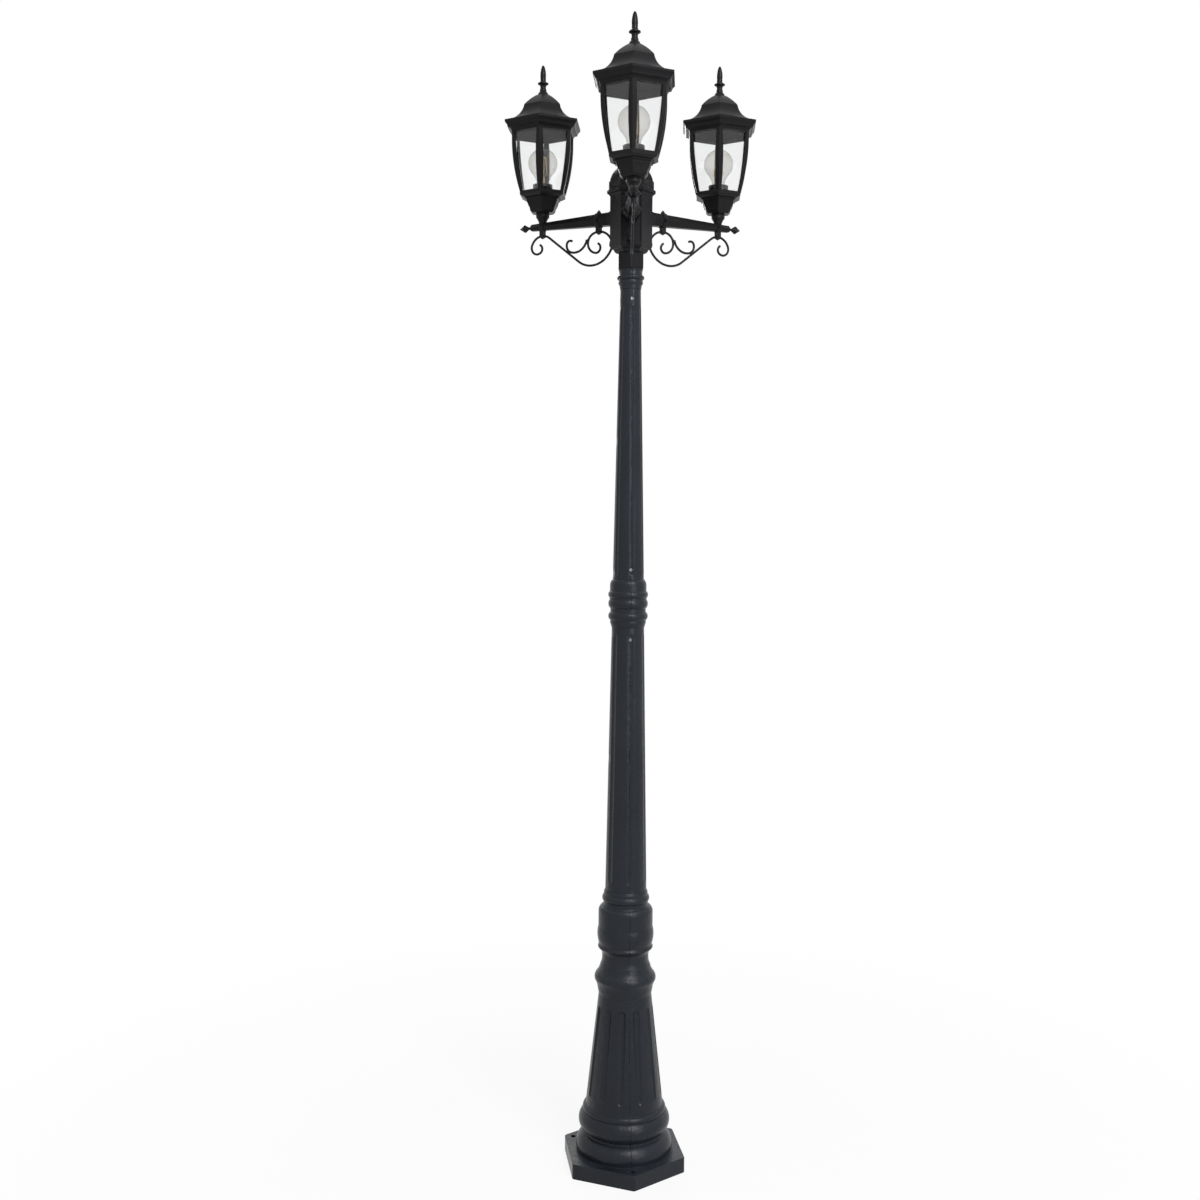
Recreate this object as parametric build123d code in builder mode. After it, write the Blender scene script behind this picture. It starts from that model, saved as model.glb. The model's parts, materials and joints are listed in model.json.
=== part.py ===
from build123d import *

import os
from math import asin, atan2, cos, degrees, radians, sin, sqrt, tan

# A three headed garden lamp post. The pole stands on +Z, its axis through the origin, with the ground
# at height 0. The front arm points along -Y, and the other two arms are a third of a turn each way.
# All sizes are in millimetres. A turn is an angle about the pole, counted anticlockwise from the front.

os.makedirs("parts", exist_ok=True)

# ---------------------------------------------------------------------------------------------------
# Shared sizes
# ---------------------------------------------------------------------------------------------------

seat_gap = 0.05  # between two castings that stand on each other
register_gap = 0.2  # around a spigot in its bore
screw_gap = 0.1  # around a screw in its hole
cable_bore_radius = 11  # the way up the middle for the supply
base_turn = 8.3  # the foot and the poles stand turned this far against the head
lantern_turn = -3.5  # each lantern stopped this far off its arm when it was screwed down
hexagon = cos(radians(30))  # apothem over corner radius

# ---------------------------------------------------------------------------------------------------
# Foot sizes
# ---------------------------------------------------------------------------------------------------

plate_radius = 130  # to a corner of the hexagon
plate_thickness = 30
plate_corner_fillet = 7
plate_edge_fillet = 1.5
anchor_circle_radius = 111
anchor_hole_radius = 5
anchor_count = 3

foot_ring_radius = 96
foot_ring_land = 4
foot_ring_height = 36
foot_groove_radius = 80
foot_groove_height = 4
foot_roll_height = 39
foot_roll_bulge = 9.5
foot_step_radius = 84
foot_step_height = 2
cove_radius = 82.5
cove_height = 13
cone_foot_radius = 77.5
cone_height = 226
cone_top_radius = 52.8
cone_wall = 7

flute_count = 12
flute_width = 14
flute_depth = 3.5
flute_start = 20  # above the foot of the cone
flute_length = 184

# ---------------------------------------------------------------------------------------------------
# Vase and collar sizes
# ---------------------------------------------------------------------------------------------------

vase_foot_radius = 53
vase_ring_radius = 55.2
vase_bead_radius = 61
vase_flare_radius = 57
vase_waist_radius = 46.5
vase_band_radius = 54
vase_roll_radius = 57.2
vase_drum_radius = 54.3
vase_drum_height = 28
vase_top_radius = 49.4
vase_wall = 8

collar_groove_radius = 44.6
collar_ring_radius = 47
collar_top_radius = 43.7
collar_height = 34
collar_spigot_height = 60

# ---------------------------------------------------------------------------------------------------
# Pole sizes
# ---------------------------------------------------------------------------------------------------

pole_wall = 3.5
lower_pole_length = 525
lower_pole_foot_radius = 41.2
lower_pole_top_radius = 32
upper_pole_length = 563
upper_pole_foot_radius = 30.8
upper_pole_top_radius = 20
pole_flute_count = 6
pole_flute_width = 15
pole_flute_depth = 1.5
lower_flute_start = 16
lower_flute_length = 498
upper_flute_start = 8
upper_flute_length = 522

coupling_height = 94
coupling_bevel_radius = 35.3
coupling_ring_radius = 39
coupling_groove_radius = 35
coupling_drum_radius = 36
coupling_spigot_reach = 50  # into each pole
spigot_wall = 4

neck_collar_height = 38
neck_collar_foot_radius = 21.6
neck_bead_radius = 24
neck_ring_radius = 26.6
neck_groove_radius = 22.6

set_screw_radius = 3
set_screw_count = 3
set_screw_socket_radius = 1.6
set_screw_socket_depth = 2
set_screw_sink = 1
coupling_screw_drop = 23  # below the top of the lower pole
upper_foot_screw_rise = 20  # above the foot of the upper pole
upper_top_screw_drop = 18.5  # below the top of the upper pole

# ---------------------------------------------------------------------------------------------------
# Hub sizes
# ---------------------------------------------------------------------------------------------------

neck_height = 31
neck_apothem = 24
neck_corner_fillet = 3
hub_radius = 41  # to a corner of the hexagon
hub_bevel_height = 12
hub_height = 96  # of the straight faces
hub_wall = 7
hub_floor = 8
hub_spigot_reach = 60
recess_width = 36
recess_depth = 3

cap_brim_radius = 47
cap_brim_height = 6
cap_cove_height = 6
cap_band_radius = 43.5
cap_band_rise = 5
cap_band_height = 12
cap_dome_radius = 42
cap_dome_sink = 5  # of the dome's centre below the top of the band
cap_wall = 4
cap_register_height = 8

# ---------------------------------------------------------------------------------------------------
# Arm sizes, in the upright plane of the front arm
# ---------------------------------------------------------------------------------------------------

arm_drop = 37.7  # of the arm's axis below the top of the hub's straight faces
lantern_reach = 203.3  # from the pole's axis to the lantern's axis
arm_overhang = 24.7  # of the arm past the lantern's axis
arm_root_flats = 25.7
arm_end_flats = 12.5
arm_wall = 2.5
arm_flare = 3
arm_flare_length = 12
arm_spigot_radius = 10
arm_spigot_reach = 8
arm_spigot_bore_radius = 6.5

tip_taper_length = 4
tip_taper_flats = 7
tip_neck_radius = 2.6
tip_neck_length = 4
tip_bead_radius = 7.7
tip_bead_rise = 9
tip_point_length = 13
tip_plug_length = 8

rod_radius = 2.3
rod_gap = 0.15
weld_depth = 0.6
rod_standoff = 7.1  # of the scroll from the hub's face, at its clip
clip_drop = 48.5  # of the hub's clip below the arm's axis
hub_bend_radius = 24.3
hub_bend_down = 29.7
hub_bend_up = 32.5
belly_radius = 49.2
crest_radius = 26.9
crest_drop = 17.7  # of the outer crest below the arm's axis
outer_bend_radius = 13.5
outer_crest_sweep = 68
outer_bend_sweep = 151
outer_curl_radius = 8.9
outer_curl_sweep = 117
inner_crest_radius = 31
inner_crest_sweep = 81.9
inner_bend_radius = 19.8
inner_bend_sweep = 150.2
inner_curl_radius = 9.5
inner_curl_sweep = 160
small_seat = 31  # along the straight run, from its lower end
small_bend_radius = 14.2
small_bend_sweep = 67.6
small_back_sweep = 19.8
small_curl_radius = 7.6
small_curl_sweep = 113
small_tip_sweep = 3

clip_width = 9.5
clip_cover = 2.8  # of the clip past the middle of the rod
clip_point = 4
clamp_half_width = 20
clamp_thickness = 9
clamp_bevel = 3
clamp_gap = 0.1
clamp_collar_wall = 1.2
saddle_half_width = 14.5
saddle_thickness = 10

nipple_radius = 4
nipple_drop = 2  # of its shoulder below the arm's axis
nipple_bore_radius = 2.6
nipple_stud_radius = 2.5
nipple_stud_depth = 5
nipple_nut_radius = 7.5
nipple_nut_height = 5
nipple_wire_radius = 1.8

# ---------------------------------------------------------------------------------------------------
# Lantern sizes, upwards from the foot of its stem
# ---------------------------------------------------------------------------------------------------

stem_foot_radius = 7.5
stem_cone_height = 11.35
stem_radius = 13.5
stem_height = 8
cup_foot_radius = 23  # the cup's radii run to the corners of its hexagons
cup_bevel_radius = 27.5
cup_bevel_height = 4
cup_body_radius = 35
cup_body_height = 18
cup_cove_radius = 37
cup_cove_height = 4
cup_rim_radius = 39
cup_rim_height = 3
cup_wall = 3
cup_floor = 4
cup_panel_border = 3
cup_panel_depth = 0.6

cage_sill_foot_radius = 42
cage_sill_radius = 50
cage_sill_bevel = 4
cage_sill_height = 7
cage_ledge = 4  # the glass stands this far below the top of the sill
cage_wall = 3
cage_bore_radius = 29
post_foot_apothem = 43.7
post_top_apothem = 58.3
post_bend_height = 101
post_bend_bulge = 3.7
post_height = 113
post_flange_top = 6.9  # of a post to each side of its corner
post_flange_foot = 5.6
cornice_radius = 74
cornice_height = 8
collar_guide_height = 8
collar_guide_wall = 2.5

glass_thickness = 2.5
glass_gap = 0.2
glass_split = 3
glass_cover = 4  # of the glass behind the cornice

skirt_gap = 0.4
skirt_foot_radius = 76
skirt_height = 10
skirt_wall = 3.5
eave_radius = 82.7
eave_height = 4.2
eave_rise = 34.5  # from the eave's edge to the shoulder
eave_bulge = -8.3
shoulder_radius = 41
roof_cap_rise = 21.7
roof_cap_radius = 14
roof_cap_bulge = 1.2
roof_wall = 2.5

finial_height = 59.55
finial_foot_radius = 11.5
finial_bead_radius = 6.8
finial_neck_radius = 5.7
finial_disc_radius = 10.7
finial_shaft_radius = 5.85
finial_stud_radius = 3
finial_stud_length = 10

holder_radius = 18.5
holder_rim_radius = 19.2
holder_height = 52
holder_wall = 4
holder_nut_room = 8
holder_socket_depth = 36

bulb_radius = 29
bulb_length = 106
bulb_glass_wall = 1
bulb_neck_angle = 45  # below the middle of the round part, where the neck leaves it
bulb_neck_height = 12  # of the straight neck above the cap
bulb_neck_hollow = 1.4
cap_radius = 13.2
bulb_cap_height = 26
bulb_cap_gap = 0.3
bulb_seat_rise = 1.5  # of the cap's lower end above the holder's floor
glass_in_cap = 3
cap_shell = 1

filament_count = 4
filament_radius = 1.1
filament_foot_circle = 8
filament_top_circle = 5.5
filament_length = 34
filament_rise = 30  # of the lower ends above the top of the cap
wire_radius = 0.4
stem_glass_radius = 4

# ---------------------------------------------------------------------------------------------------
# Heights and places that follow from the sizes
# ---------------------------------------------------------------------------------------------------

roll_foot_z = plate_thickness + foot_ring_height + foot_groove_height
cone_foot_z = roll_foot_z + foot_roll_height + foot_step_height + cove_height
pedestal_top_z = cone_foot_z + cone_height
vase_ring_heights = (11, 17.5, 14, 16, 15, 7, 12, 12, 8, 25)  # from one moulding of the vase to the next
vase_drum_z = pedestal_top_z + sum(vase_ring_heights)
vase_top_z = vase_drum_z + vase_drum_height + 11.5
lower_pole_z = vase_top_z + collar_height
coupling_z = lower_pole_z + lower_pole_length
upper_pole_z = coupling_z + coupling_height
neck_collar_z = upper_pole_z + upper_pole_length
neck_z = neck_collar_z + neck_collar_height
hub_bevel_z = neck_z + neck_height
hub_z = hub_bevel_z + hub_bevel_height
hub_top_z = hub_z + hub_height
arm_z = hub_top_z - arm_drop
clip_foot_z = arm_z - clip_drop - clip_width / 2
recess_rise = clip_foot_z - register_gap - hub_z  # the clips sit in the hub's recesses
hub_apothem = hub_radius * hexagon
arm_root = hub_apothem - recess_depth
arm_end = lantern_reach + arm_overhang

headings = {"front": 0, "left": -120, "right": 120}


def lower_pole_radius(z):
    """Outer radius of the lower pole at a height."""
    share = (z - lower_pole_z) / lower_pole_length
    return lower_pole_foot_radius + share * (lower_pole_top_radius - lower_pole_foot_radius)


def upper_pole_radius(z):
    """Outer radius of the upper pole at a height."""
    share = (z - upper_pole_z) / upper_pole_length
    return upper_pole_foot_radius + share * (upper_pole_top_radius - upper_pole_foot_radius)


def arm_flats(s):
    """Width across the flats of the arm's hexagon, at a distance from the pole's axis."""
    share = (s - hub_apothem) / (arm_end - hub_apothem)
    return arm_root_flats + share * (arm_end_flats - arm_root_flats)


# ---------------------------------------------------------------------------------------------------
# Drawing helpers
# ---------------------------------------------------------------------------------------------------


def profile(*steps):
    """Draw a closed outline through (radius, height) points. A third number bulges that run outwards."""
    here = steps[0]
    for step in steps[1:]:
        there = step[:2]
        if len(step) == 3:
            SagittaArc(here, there, -step[2])
        else:
            Line(here, there)
        here = there
    Line(here, steps[0])


def spread(foot, top, rows):
    """Place rows of (radius, share of the height, bulge) as steps between two heights."""
    return [(radius, foot + share * (top - foot), *bulge) for radius, share, *bulge in rows]


def turned(*steps, mode=Mode.ADD):
    """Revolve an outline about the pole's axis."""
    with BuildSketch(Plane.XZ) as section:
        with BuildLine():
            profile(*steps)
        make_face()
    revolve(section.sketch, axis=Axis.Z, mode=mode)


def hexagonal(*steps, inset=0, face_turn=0):
    """Cross three extrusions of one half outline, which turns it into a body with six equal sides.

    The steps give (apothem, height), or (apothem, height, bulge), from the foot to the top. With no face
    turn, a corner of the hexagon points to the front.
    """
    reach = 2 * max(step[0] for step in steps)
    foot = (0, steps[0][1])
    top = (0, steps[-1][1])
    with BuildPart() as body:
        for turn in (0, 60, 120):
            with BuildSketch(Plane.XZ.rotated((0, 0, turn + face_turn))) as section:
                with BuildLine():
                    profile(foot, *steps, top)
                make_face()
                mirror(about=Plane.YZ)
                if inset:
                    offset(amount=-inset, kind=Kind.INTERSECTION, mode=Mode.REPLACE)
            extrude(section.sketch, amount=reach, both=True, mode=Mode.INTERSECT if turn else Mode.ADD)
    return body.part


def across(s, z=0):
    """Upright plane square to the front arm, at a distance from the pole's axis and a height."""
    return Plane(origin=(0, -s, z), x_dir=(1, 0, 0), z_dir=(0, -1, 0))


def round_bar(start, end, radius, mode=Mode.ADD):
    """Add or cut a straight round bar between two points."""
    run = Vector(*end) - Vector(*start)
    with BuildSketch(Plane(origin=start, z_dir=run)) as section:
        Circle(radius)
    extrude(section.sketch, amount=run.length, mode=mode)


def capsule(start, end, radius):
    """Round-ended bar between two points, made as one turned solid."""
    run = end - start
    bend = radius * sqrt(0.5)
    with BuildPart() as body:
        with BuildSketch(Plane(origin=start, x_dir=run, z_dir=run.cross(Vector(0, 0, 1)))):
            with BuildLine():
                Line((-radius, 0), (run.length + radius, 0))
                ThreePointArc((-radius, 0), (-bend, bend), (0, radius))
                Line((0, radius), (run.length, radius))
                ThreePointArc((run.length, radius), (run.length + bend, bend), (run.length + radius, 0))
            make_face()
        revolve(axis=Axis(start, run))
    return body.part


def flutes(count, first_turn, foot, top, width, depth):
    """Cut round-ended flutes into a tapered body. Foot and top are the (radius, height) of its surface."""
    cutter = ((width / 2) ** 2 + depth**2) / (2 * depth)
    start = Vector(0, -(foot[0] + cutter - depth), foot[1] + width / 2)
    end = Vector(0, -(top[0] + cutter - depth), top[1] - width / 2)
    with PolarLocations(0, count, start_angle=first_turn):
        add(capsule(start, end, cutter), mode=Mode.SUBTRACT)


def hex_taper(near, far, near_flats, far_flats, mode=Mode.ADD):
    """Loft a hexagon with level flats along the front arm, between two distances from the pole's axis."""
    with BuildSketch(across(near, arm_z)) as first:
        RegularPolygon(near_flats / 2, 6, major_radius=False)
    with BuildSketch(across(far, arm_z)) as last:
        RegularPolygon(far_flats / 2, 6, major_radius=False)
    loft([first.sketch.faces()[0], last.sketch.faces()[0]], mode=mode)


def radial_holes(z, depth_from, depth_to, radius, mode=Mode.SUBTRACT):
    """Cut or add round bars that point at the pole's axis, in the flutes where the set screws are."""
    for index in range(set_screw_count):
        turn = base_turn + index * 360 / set_screw_count
        outward = Vector(sin(radians(turn)), -cos(radians(turn)), 0)
        with BuildSketch(Plane(origin=outward * depth_from + Vector(0, 0, z), z_dir=outward)) as section:
            Circle(radius)
        extrude(section.sketch, amount=depth_to - depth_from, mode=mode)


# ---------------------------------------------------------------------------------------------------
# Pedestal: hexagonal plate, round mouldings and a fluted cone, cast hollow in one piece
# ---------------------------------------------------------------------------------------------------

ring_top_z = plate_thickness + foot_ring_height
roll_top_z = roll_foot_z + foot_roll_height
cove_foot_z = roll_top_z + foot_step_height
cone_slope = atan2(cone_foot_radius - cone_top_radius, cone_height)
register_depth = 10
vase_bore_radius = vase_waist_radius - vase_wall
pedestal_mouth_radius = vase_bore_radius - 6

with BuildPart() as pedestal:
    with BuildSketch(Plane.XY.rotated((0, 0, base_turn))):
        RegularPolygon(plate_radius, 6, rotation=30)
    extrude(amount=plate_thickness)
    fillet(pedestal.edges().filter_by(Axis.Z), plate_corner_fillet)
    fillet(pedestal.faces().sort_by(Axis.Z)[-1].edges(), plate_edge_fillet)
    with PolarLocations(anchor_circle_radius, anchor_count, start_angle=base_turn - 90):
        Hole(anchor_hole_radius)
    turned(
        (0, plate_thickness - foot_ring_land),
        (foot_ring_radius, plate_thickness - foot_ring_land),
        (foot_ring_radius, plate_thickness + foot_ring_land),
        (foot_groove_radius, ring_top_z, 6.5),
        (foot_groove_radius, roll_foot_z),
        (foot_step_radius, roll_top_z, foot_roll_bulge),
        (foot_step_radius, cove_foot_z),
        (cove_radius, cove_foot_z),
        (cone_foot_radius, cone_foot_z - 1, 3),
        (cone_foot_radius, cone_foot_z),
        (cone_top_radius, pedestal_top_z),
        (0, pedestal_top_z),
    )
    turned(
        (0, 0),
        (foot_groove_radius - cone_wall, 0),
        (foot_groove_radius - cone_wall, roll_foot_z),
        (cone_foot_radius - cone_wall, cone_foot_z),
        (cone_top_radius - cone_wall, pedestal_top_z - register_depth),
        (pedestal_mouth_radius, pedestal_top_z - register_depth),
        (pedestal_mouth_radius, pedestal_top_z),
        (0, pedestal_top_z),
        mode=Mode.SUBTRACT,
    )
    flute_foot = cone_foot_radius - flute_start * tan(cone_slope)
    flute_top = flute_foot - flute_length * tan(cone_slope)
    flutes(
        flute_count,
        base_turn + 180 / flute_count,
        (flute_foot, cone_foot_z + flute_start),
        (flute_top, cone_foot_z + flute_start + flute_length),
        flute_width,
        flute_depth,
    )
pedestal.part.label = "pedestal"
export_step(pedestal.part, "parts/pedestal.step")

# ---------------------------------------------------------------------------------------------------
# Vase: a flared foot, a narrow waist and a round drum, with a register that drops into the pedestal
# ---------------------------------------------------------------------------------------------------

vase_heights = [pedestal_top_z + seat_gap]
for rise in vase_ring_heights:
    vase_heights.append(vase_heights[-1] + rise)

with BuildPart() as vase:
    turned(
        (0, pedestal_top_z - register_depth + 1),
        (pedestal_mouth_radius - register_gap, pedestal_top_z - register_depth + 1),
        (pedestal_mouth_radius - register_gap, vase_heights[0]),
        (vase_foot_radius, vase_heights[0]),
        (vase_ring_radius, vase_heights[1]),
        (vase_bead_radius, vase_heights[2], -1),
        (vase_flare_radius, vase_heights[3], 2),
        (vase_waist_radius + 3.4, vase_heights[4], -1),
        (vase_waist_radius, vase_heights[5], -1),
        (vase_waist_radius, vase_heights[6]),
        (vase_band_radius, vase_heights[7], -1.5),
        (vase_band_radius, vase_heights[7] + 5, 1),
        (vase_band_radius - 1.5, vase_heights[7] + 8),
        (vase_drum_radius, vase_drum_z - 1, vase_roll_radius - vase_drum_radius),
        (vase_drum_radius, vase_drum_z + vase_drum_height),
        (vase_top_radius, vase_top_z, 1.5),
        (0, vase_top_z),
    )
    turned(
        (0, pedestal_top_z - register_depth),
        (pedestal_mouth_radius - vase_wall, pedestal_top_z - register_depth),
        (pedestal_mouth_radius - vase_wall, pedestal_top_z),
        (vase_bore_radius, pedestal_top_z + vase_wall),
        (vase_bore_radius, vase_top_z),
        (0, vase_top_z),
        mode=Mode.SUBTRACT,
    )
vase.part.label = "vase"
export_step(vase.part, "parts/vase.step")

# ---------------------------------------------------------------------------------------------------
# Foot collar: joins the vase to the lower pole, with a spigot up into the pole
# ---------------------------------------------------------------------------------------------------

collar_foot_z = vase_top_z + seat_gap
collar_spigot_radius = lower_pole_radius(lower_pole_z + collar_spigot_height) - pole_wall - register_gap

collar_rows = (
    (vase_top_radius - 2, 0),
    (collar_groove_radius, 0.118, -1),
    (collar_groove_radius, 0.294),
    (collar_top_radius, 0.706, collar_ring_radius - collar_groove_radius + 0.5),
    (collar_top_radius, 0.853),
    (lower_pole_foot_radius + 0.3, 1),
)

with BuildPart() as foot_collar:
    turned(
        (0, vase_top_z - register_depth),
        (vase_bore_radius - register_gap, vase_top_z - register_depth),
        (vase_bore_radius - register_gap, collar_foot_z),
        *spread(collar_foot_z, lower_pole_z, collar_rows),
        (collar_spigot_radius, lower_pole_z),
        (collar_spigot_radius, lower_pole_z + collar_spigot_height - 2),
        (collar_spigot_radius - 2, lower_pole_z + collar_spigot_height),
        (0, lower_pole_z + collar_spigot_height),
    )
    with BuildSketch(Plane.XY.offset(vase_top_z - register_depth)):
        Circle(collar_spigot_radius - 2 * spigot_wall)
    extrude(amount=lower_pole_z - vase_top_z + register_depth + collar_spigot_height, mode=Mode.SUBTRACT)
foot_collar.part.label = "foot_collar"
export_step(foot_collar.part, "parts/foot_collar.step")

# ---------------------------------------------------------------------------------------------------
# Lower pole: a tapered tube with wide shallow flutes and three set screw holes near its top
# ---------------------------------------------------------------------------------------------------

lower_foot_z = lower_pole_z + seat_gap
coupling_screw_z = coupling_z - coupling_screw_drop

with BuildPart() as lower_pole:
    turned(
        (lower_pole_foot_radius - pole_wall, lower_foot_z),
        (lower_pole_foot_radius, lower_foot_z),
        (lower_pole_top_radius, coupling_z),
        (lower_pole_top_radius - pole_wall, coupling_z),
    )
    flutes(
        pole_flute_count,
        base_turn,
        (lower_pole_radius(lower_pole_z + lower_flute_start), lower_pole_z + lower_flute_start),
        (
            lower_pole_radius(lower_pole_z + lower_flute_start + lower_flute_length),
            lower_pole_z + lower_flute_start + lower_flute_length,
        ),
        pole_flute_width,
        pole_flute_depth,
    )
    screw_hole_foot = lower_pole_radius(coupling_screw_z) - 2 * pole_wall
    radial_holes(coupling_screw_z, screw_hole_foot, lower_pole_foot_radius, set_screw_radius + screw_gap)
lower_pole.part.label = "lower_pole"
export_step(lower_pole.part, "parts/lower_pole.step")

# ---------------------------------------------------------------------------------------------------
# Pole coupling: a ringed sleeve between the two poles
# ---------------------------------------------------------------------------------------------------

coupling_foot_z = coupling_z + seat_gap
coupling_bore_radius = upper_pole_foot_radius - pole_wall - register_gap

coupling_rows = (
    (lower_pole_top_radius + 0.5, 0),
    (coupling_bevel_radius, 0.096),
    (coupling_bevel_radius, 0.149),
    (coupling_groove_radius, 0.32, coupling_ring_radius - coupling_bevel_radius + 0.2),
    (coupling_groove_radius, 0.394),
    (coupling_groove_radius + 1.6, 0.575, coupling_ring_radius - coupling_groove_radius - 0.8),
    (coupling_groove_radius + 1.6, 0.617),
    (coupling_drum_radius, 0.755, coupling_ring_radius - coupling_drum_radius),
    (coupling_drum_radius, 0.894),
    (upper_pole_foot_radius + 0.4, 1, 1),
)

with BuildPart() as pole_coupling:
    turned(
        (coupling_bore_radius, coupling_foot_z),
        *spread(coupling_foot_z, upper_pole_z, coupling_rows),
        (coupling_bore_radius, upper_pole_z),
    )
pole_coupling.part.label = "pole_coupling"
export_step(pole_coupling.part, "parts/pole_coupling.step")

# ---------------------------------------------------------------------------------------------------
# Coupling spigot: a stepped tube inside both poles, which the set screws hold
# ---------------------------------------------------------------------------------------------------

spigot_foot_z = coupling_z - coupling_spigot_reach
spigot_top_z = upper_pole_z + coupling_spigot_reach
spigot_lower_radius = lower_pole_top_radius - pole_wall - register_gap
spigot_upper_radius = upper_pole_radius(spigot_top_z) - pole_wall - register_gap
upper_foot_screw_z = upper_pole_z + upper_foot_screw_rise

with BuildPart() as coupling_spigot:
    turned(
        (spigot_upper_radius - spigot_wall, spigot_foot_z),
        (spigot_lower_radius, spigot_foot_z),
        (spigot_lower_radius, coupling_z),
        (spigot_upper_radius, coupling_z),
        (spigot_upper_radius, spigot_top_z),
        (spigot_upper_radius - spigot_wall, spigot_top_z),
    )
coupling_spigot.part.label = "coupling_spigot"
export_step(coupling_spigot.part, "parts/coupling_spigot.step")

# ---------------------------------------------------------------------------------------------------
# Upper pole: the same fluted tube, thinner, with set screw holes at both ends
# ---------------------------------------------------------------------------------------------------

upper_foot_z = upper_pole_z + seat_gap
upper_top_screw_z = neck_collar_z - upper_top_screw_drop

with BuildPart() as upper_pole:
    turned(
        (upper_pole_foot_radius - pole_wall, upper_foot_z),
        (upper_pole_foot_radius, upper_foot_z),
        (upper_pole_top_radius, neck_collar_z),
        (upper_pole_top_radius - pole_wall, neck_collar_z),
    )
    flutes(
        pole_flute_count,
        base_turn,
        (upper_pole_radius(upper_pole_z + upper_flute_start), upper_pole_z + upper_flute_start),
        (
            upper_pole_radius(upper_pole_z + upper_flute_start + upper_flute_length),
            upper_pole_z + upper_flute_start + upper_flute_length,
        ),
        pole_flute_width - 4,
        pole_flute_depth,
    )
    for screw_z in (upper_foot_screw_z, upper_top_screw_z):
        screw_hole_foot = upper_pole_radius(screw_z) - 2 * pole_wall
        radial_holes(screw_z, screw_hole_foot, upper_pole_foot_radius, set_screw_radius + screw_gap)
upper_pole.part.label = "upper_pole"
export_step(upper_pole.part, "parts/upper_pole.step")

# ---------------------------------------------------------------------------------------------------
# Neck collar: three small rings around the spigot of the hub
# ---------------------------------------------------------------------------------------------------

hub_spigot_radius = upper_pole_top_radius - pole_wall - register_gap
neck_collar_foot_z = neck_collar_z + seat_gap

neck_rows = (
    (upper_pole_top_radius + 0.4, 0),
    (neck_collar_foot_radius, 0.21),
    (neck_collar_foot_radius + 1.4, 0.448, 1.6),
    (neck_collar_foot_radius + 1.4, 0.474),
    (neck_groove_radius + 0.4, 0.711, neck_ring_radius - neck_groove_radius - 0.4),
    (neck_groove_radius, 0.842),
    (neck_bead_radius, 1, -0.5),
)

with BuildPart() as neck_collar:
    turned(
        (hub_spigot_radius + register_gap, neck_collar_foot_z),
        *spread(neck_collar_foot_z, neck_z, neck_rows),
        (hub_spigot_radius + register_gap, neck_z),
    )
neck_collar.part.label = "neck_collar"
export_step(neck_collar.part, "parts/neck_collar.step")

# ---------------------------------------------------------------------------------------------------
# Arm hub: hexagonal neck and hollow hexagonal body, recessed where the arms meet it
# ---------------------------------------------------------------------------------------------------

neck_foot_z = neck_z + seat_gap
hub_spigot_foot_z = neck_foot_z - neck_collar_height - hub_spigot_reach
hub_inner_apothem = hub_apothem - hub_wall
neck = hexagonal((neck_apothem - 1, neck_foot_z), (neck_apothem, neck_foot_z + 3), (neck_apothem, hub_z))
column = hexagonal(
    (neck_apothem - 2, hub_bevel_z - 0.5),
    (neck_apothem + 5, hub_bevel_z + 7, 1.5),
    (hub_apothem - 1.5, hub_z - 1, 1),
    (hub_apothem, hub_z + 1, 0.4),
    (hub_apothem, hub_top_z),
    face_turn=30,
)
cavity = hexagonal(
    (hub_inner_apothem, hub_z + hub_floor), (hub_inner_apothem, hub_top_z + 1), face_turn=30
)

with BuildPart() as arm_hub:
    add(neck)
    fillet(arm_hub.edges().filter_by(Axis.Z), neck_corner_fillet)
    add(column)
    add(cavity, mode=Mode.SUBTRACT)
    with BuildSketch(Plane.XY.offset(neck_foot_z)):
        Circle(hub_spigot_radius)
    extrude(amount=hub_spigot_foot_z - neck_foot_z)
    with BuildSketch(Plane.XY.offset(hub_z + hub_floor)):
        Circle(cable_bore_radius)
    extrude(amount=hub_spigot_foot_z - hub_z - hub_floor, mode=Mode.SUBTRACT)
    for heading in headings.values():
        outward = Vector(sin(radians(heading)), -cos(radians(heading)), 0)
        face = Plane(origin=outward * hub_apothem + Vector(0, 0, hub_z), z_dir=outward, x_dir=Vector(0, 0, 1))
        with BuildSketch(face):
            with Locations((recess_rise + hub_height / 2, 0)):
                Rectangle(hub_height, recess_width)
        extrude(amount=-recess_depth, mode=Mode.SUBTRACT)
        with BuildSketch(face):
            with Locations((hub_height - arm_drop, 0)):
                Circle(arm_spigot_radius + register_gap)
        extrude(amount=-2 * hub_wall, mode=Mode.SUBTRACT)
arm_hub.part.label = "arm_hub"
export_step(arm_hub.part, "parts/arm_hub.step")

# ---------------------------------------------------------------------------------------------------
# Hub cap: a brim, a band and a six sided dome that close the hub
# ---------------------------------------------------------------------------------------------------

cap_foot_z = hub_top_z + seat_gap
cap_brim_z = cap_foot_z + cap_cove_height
cap_band_z = cap_brim_z + cap_brim_height + cap_band_rise
cap_band_top_z = cap_band_z + cap_band_height
dome_z = cap_band_top_z - cap_dome_sink
dome_foot_radius = sqrt(cap_dome_radius**2 - cap_dome_sink**2)
dome_top_radius = cap_dome_radius / 6
dome_top_z = dome_z + sqrt(cap_dome_radius**2 - dome_top_radius**2)
dome_half_angle = (asin(dome_foot_radius / cap_dome_radius) - asin(dome_top_radius / cap_dome_radius)) / 2
dome_bulge = cap_dome_radius * (1 - cos(dome_half_angle)) * hexagon


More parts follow.
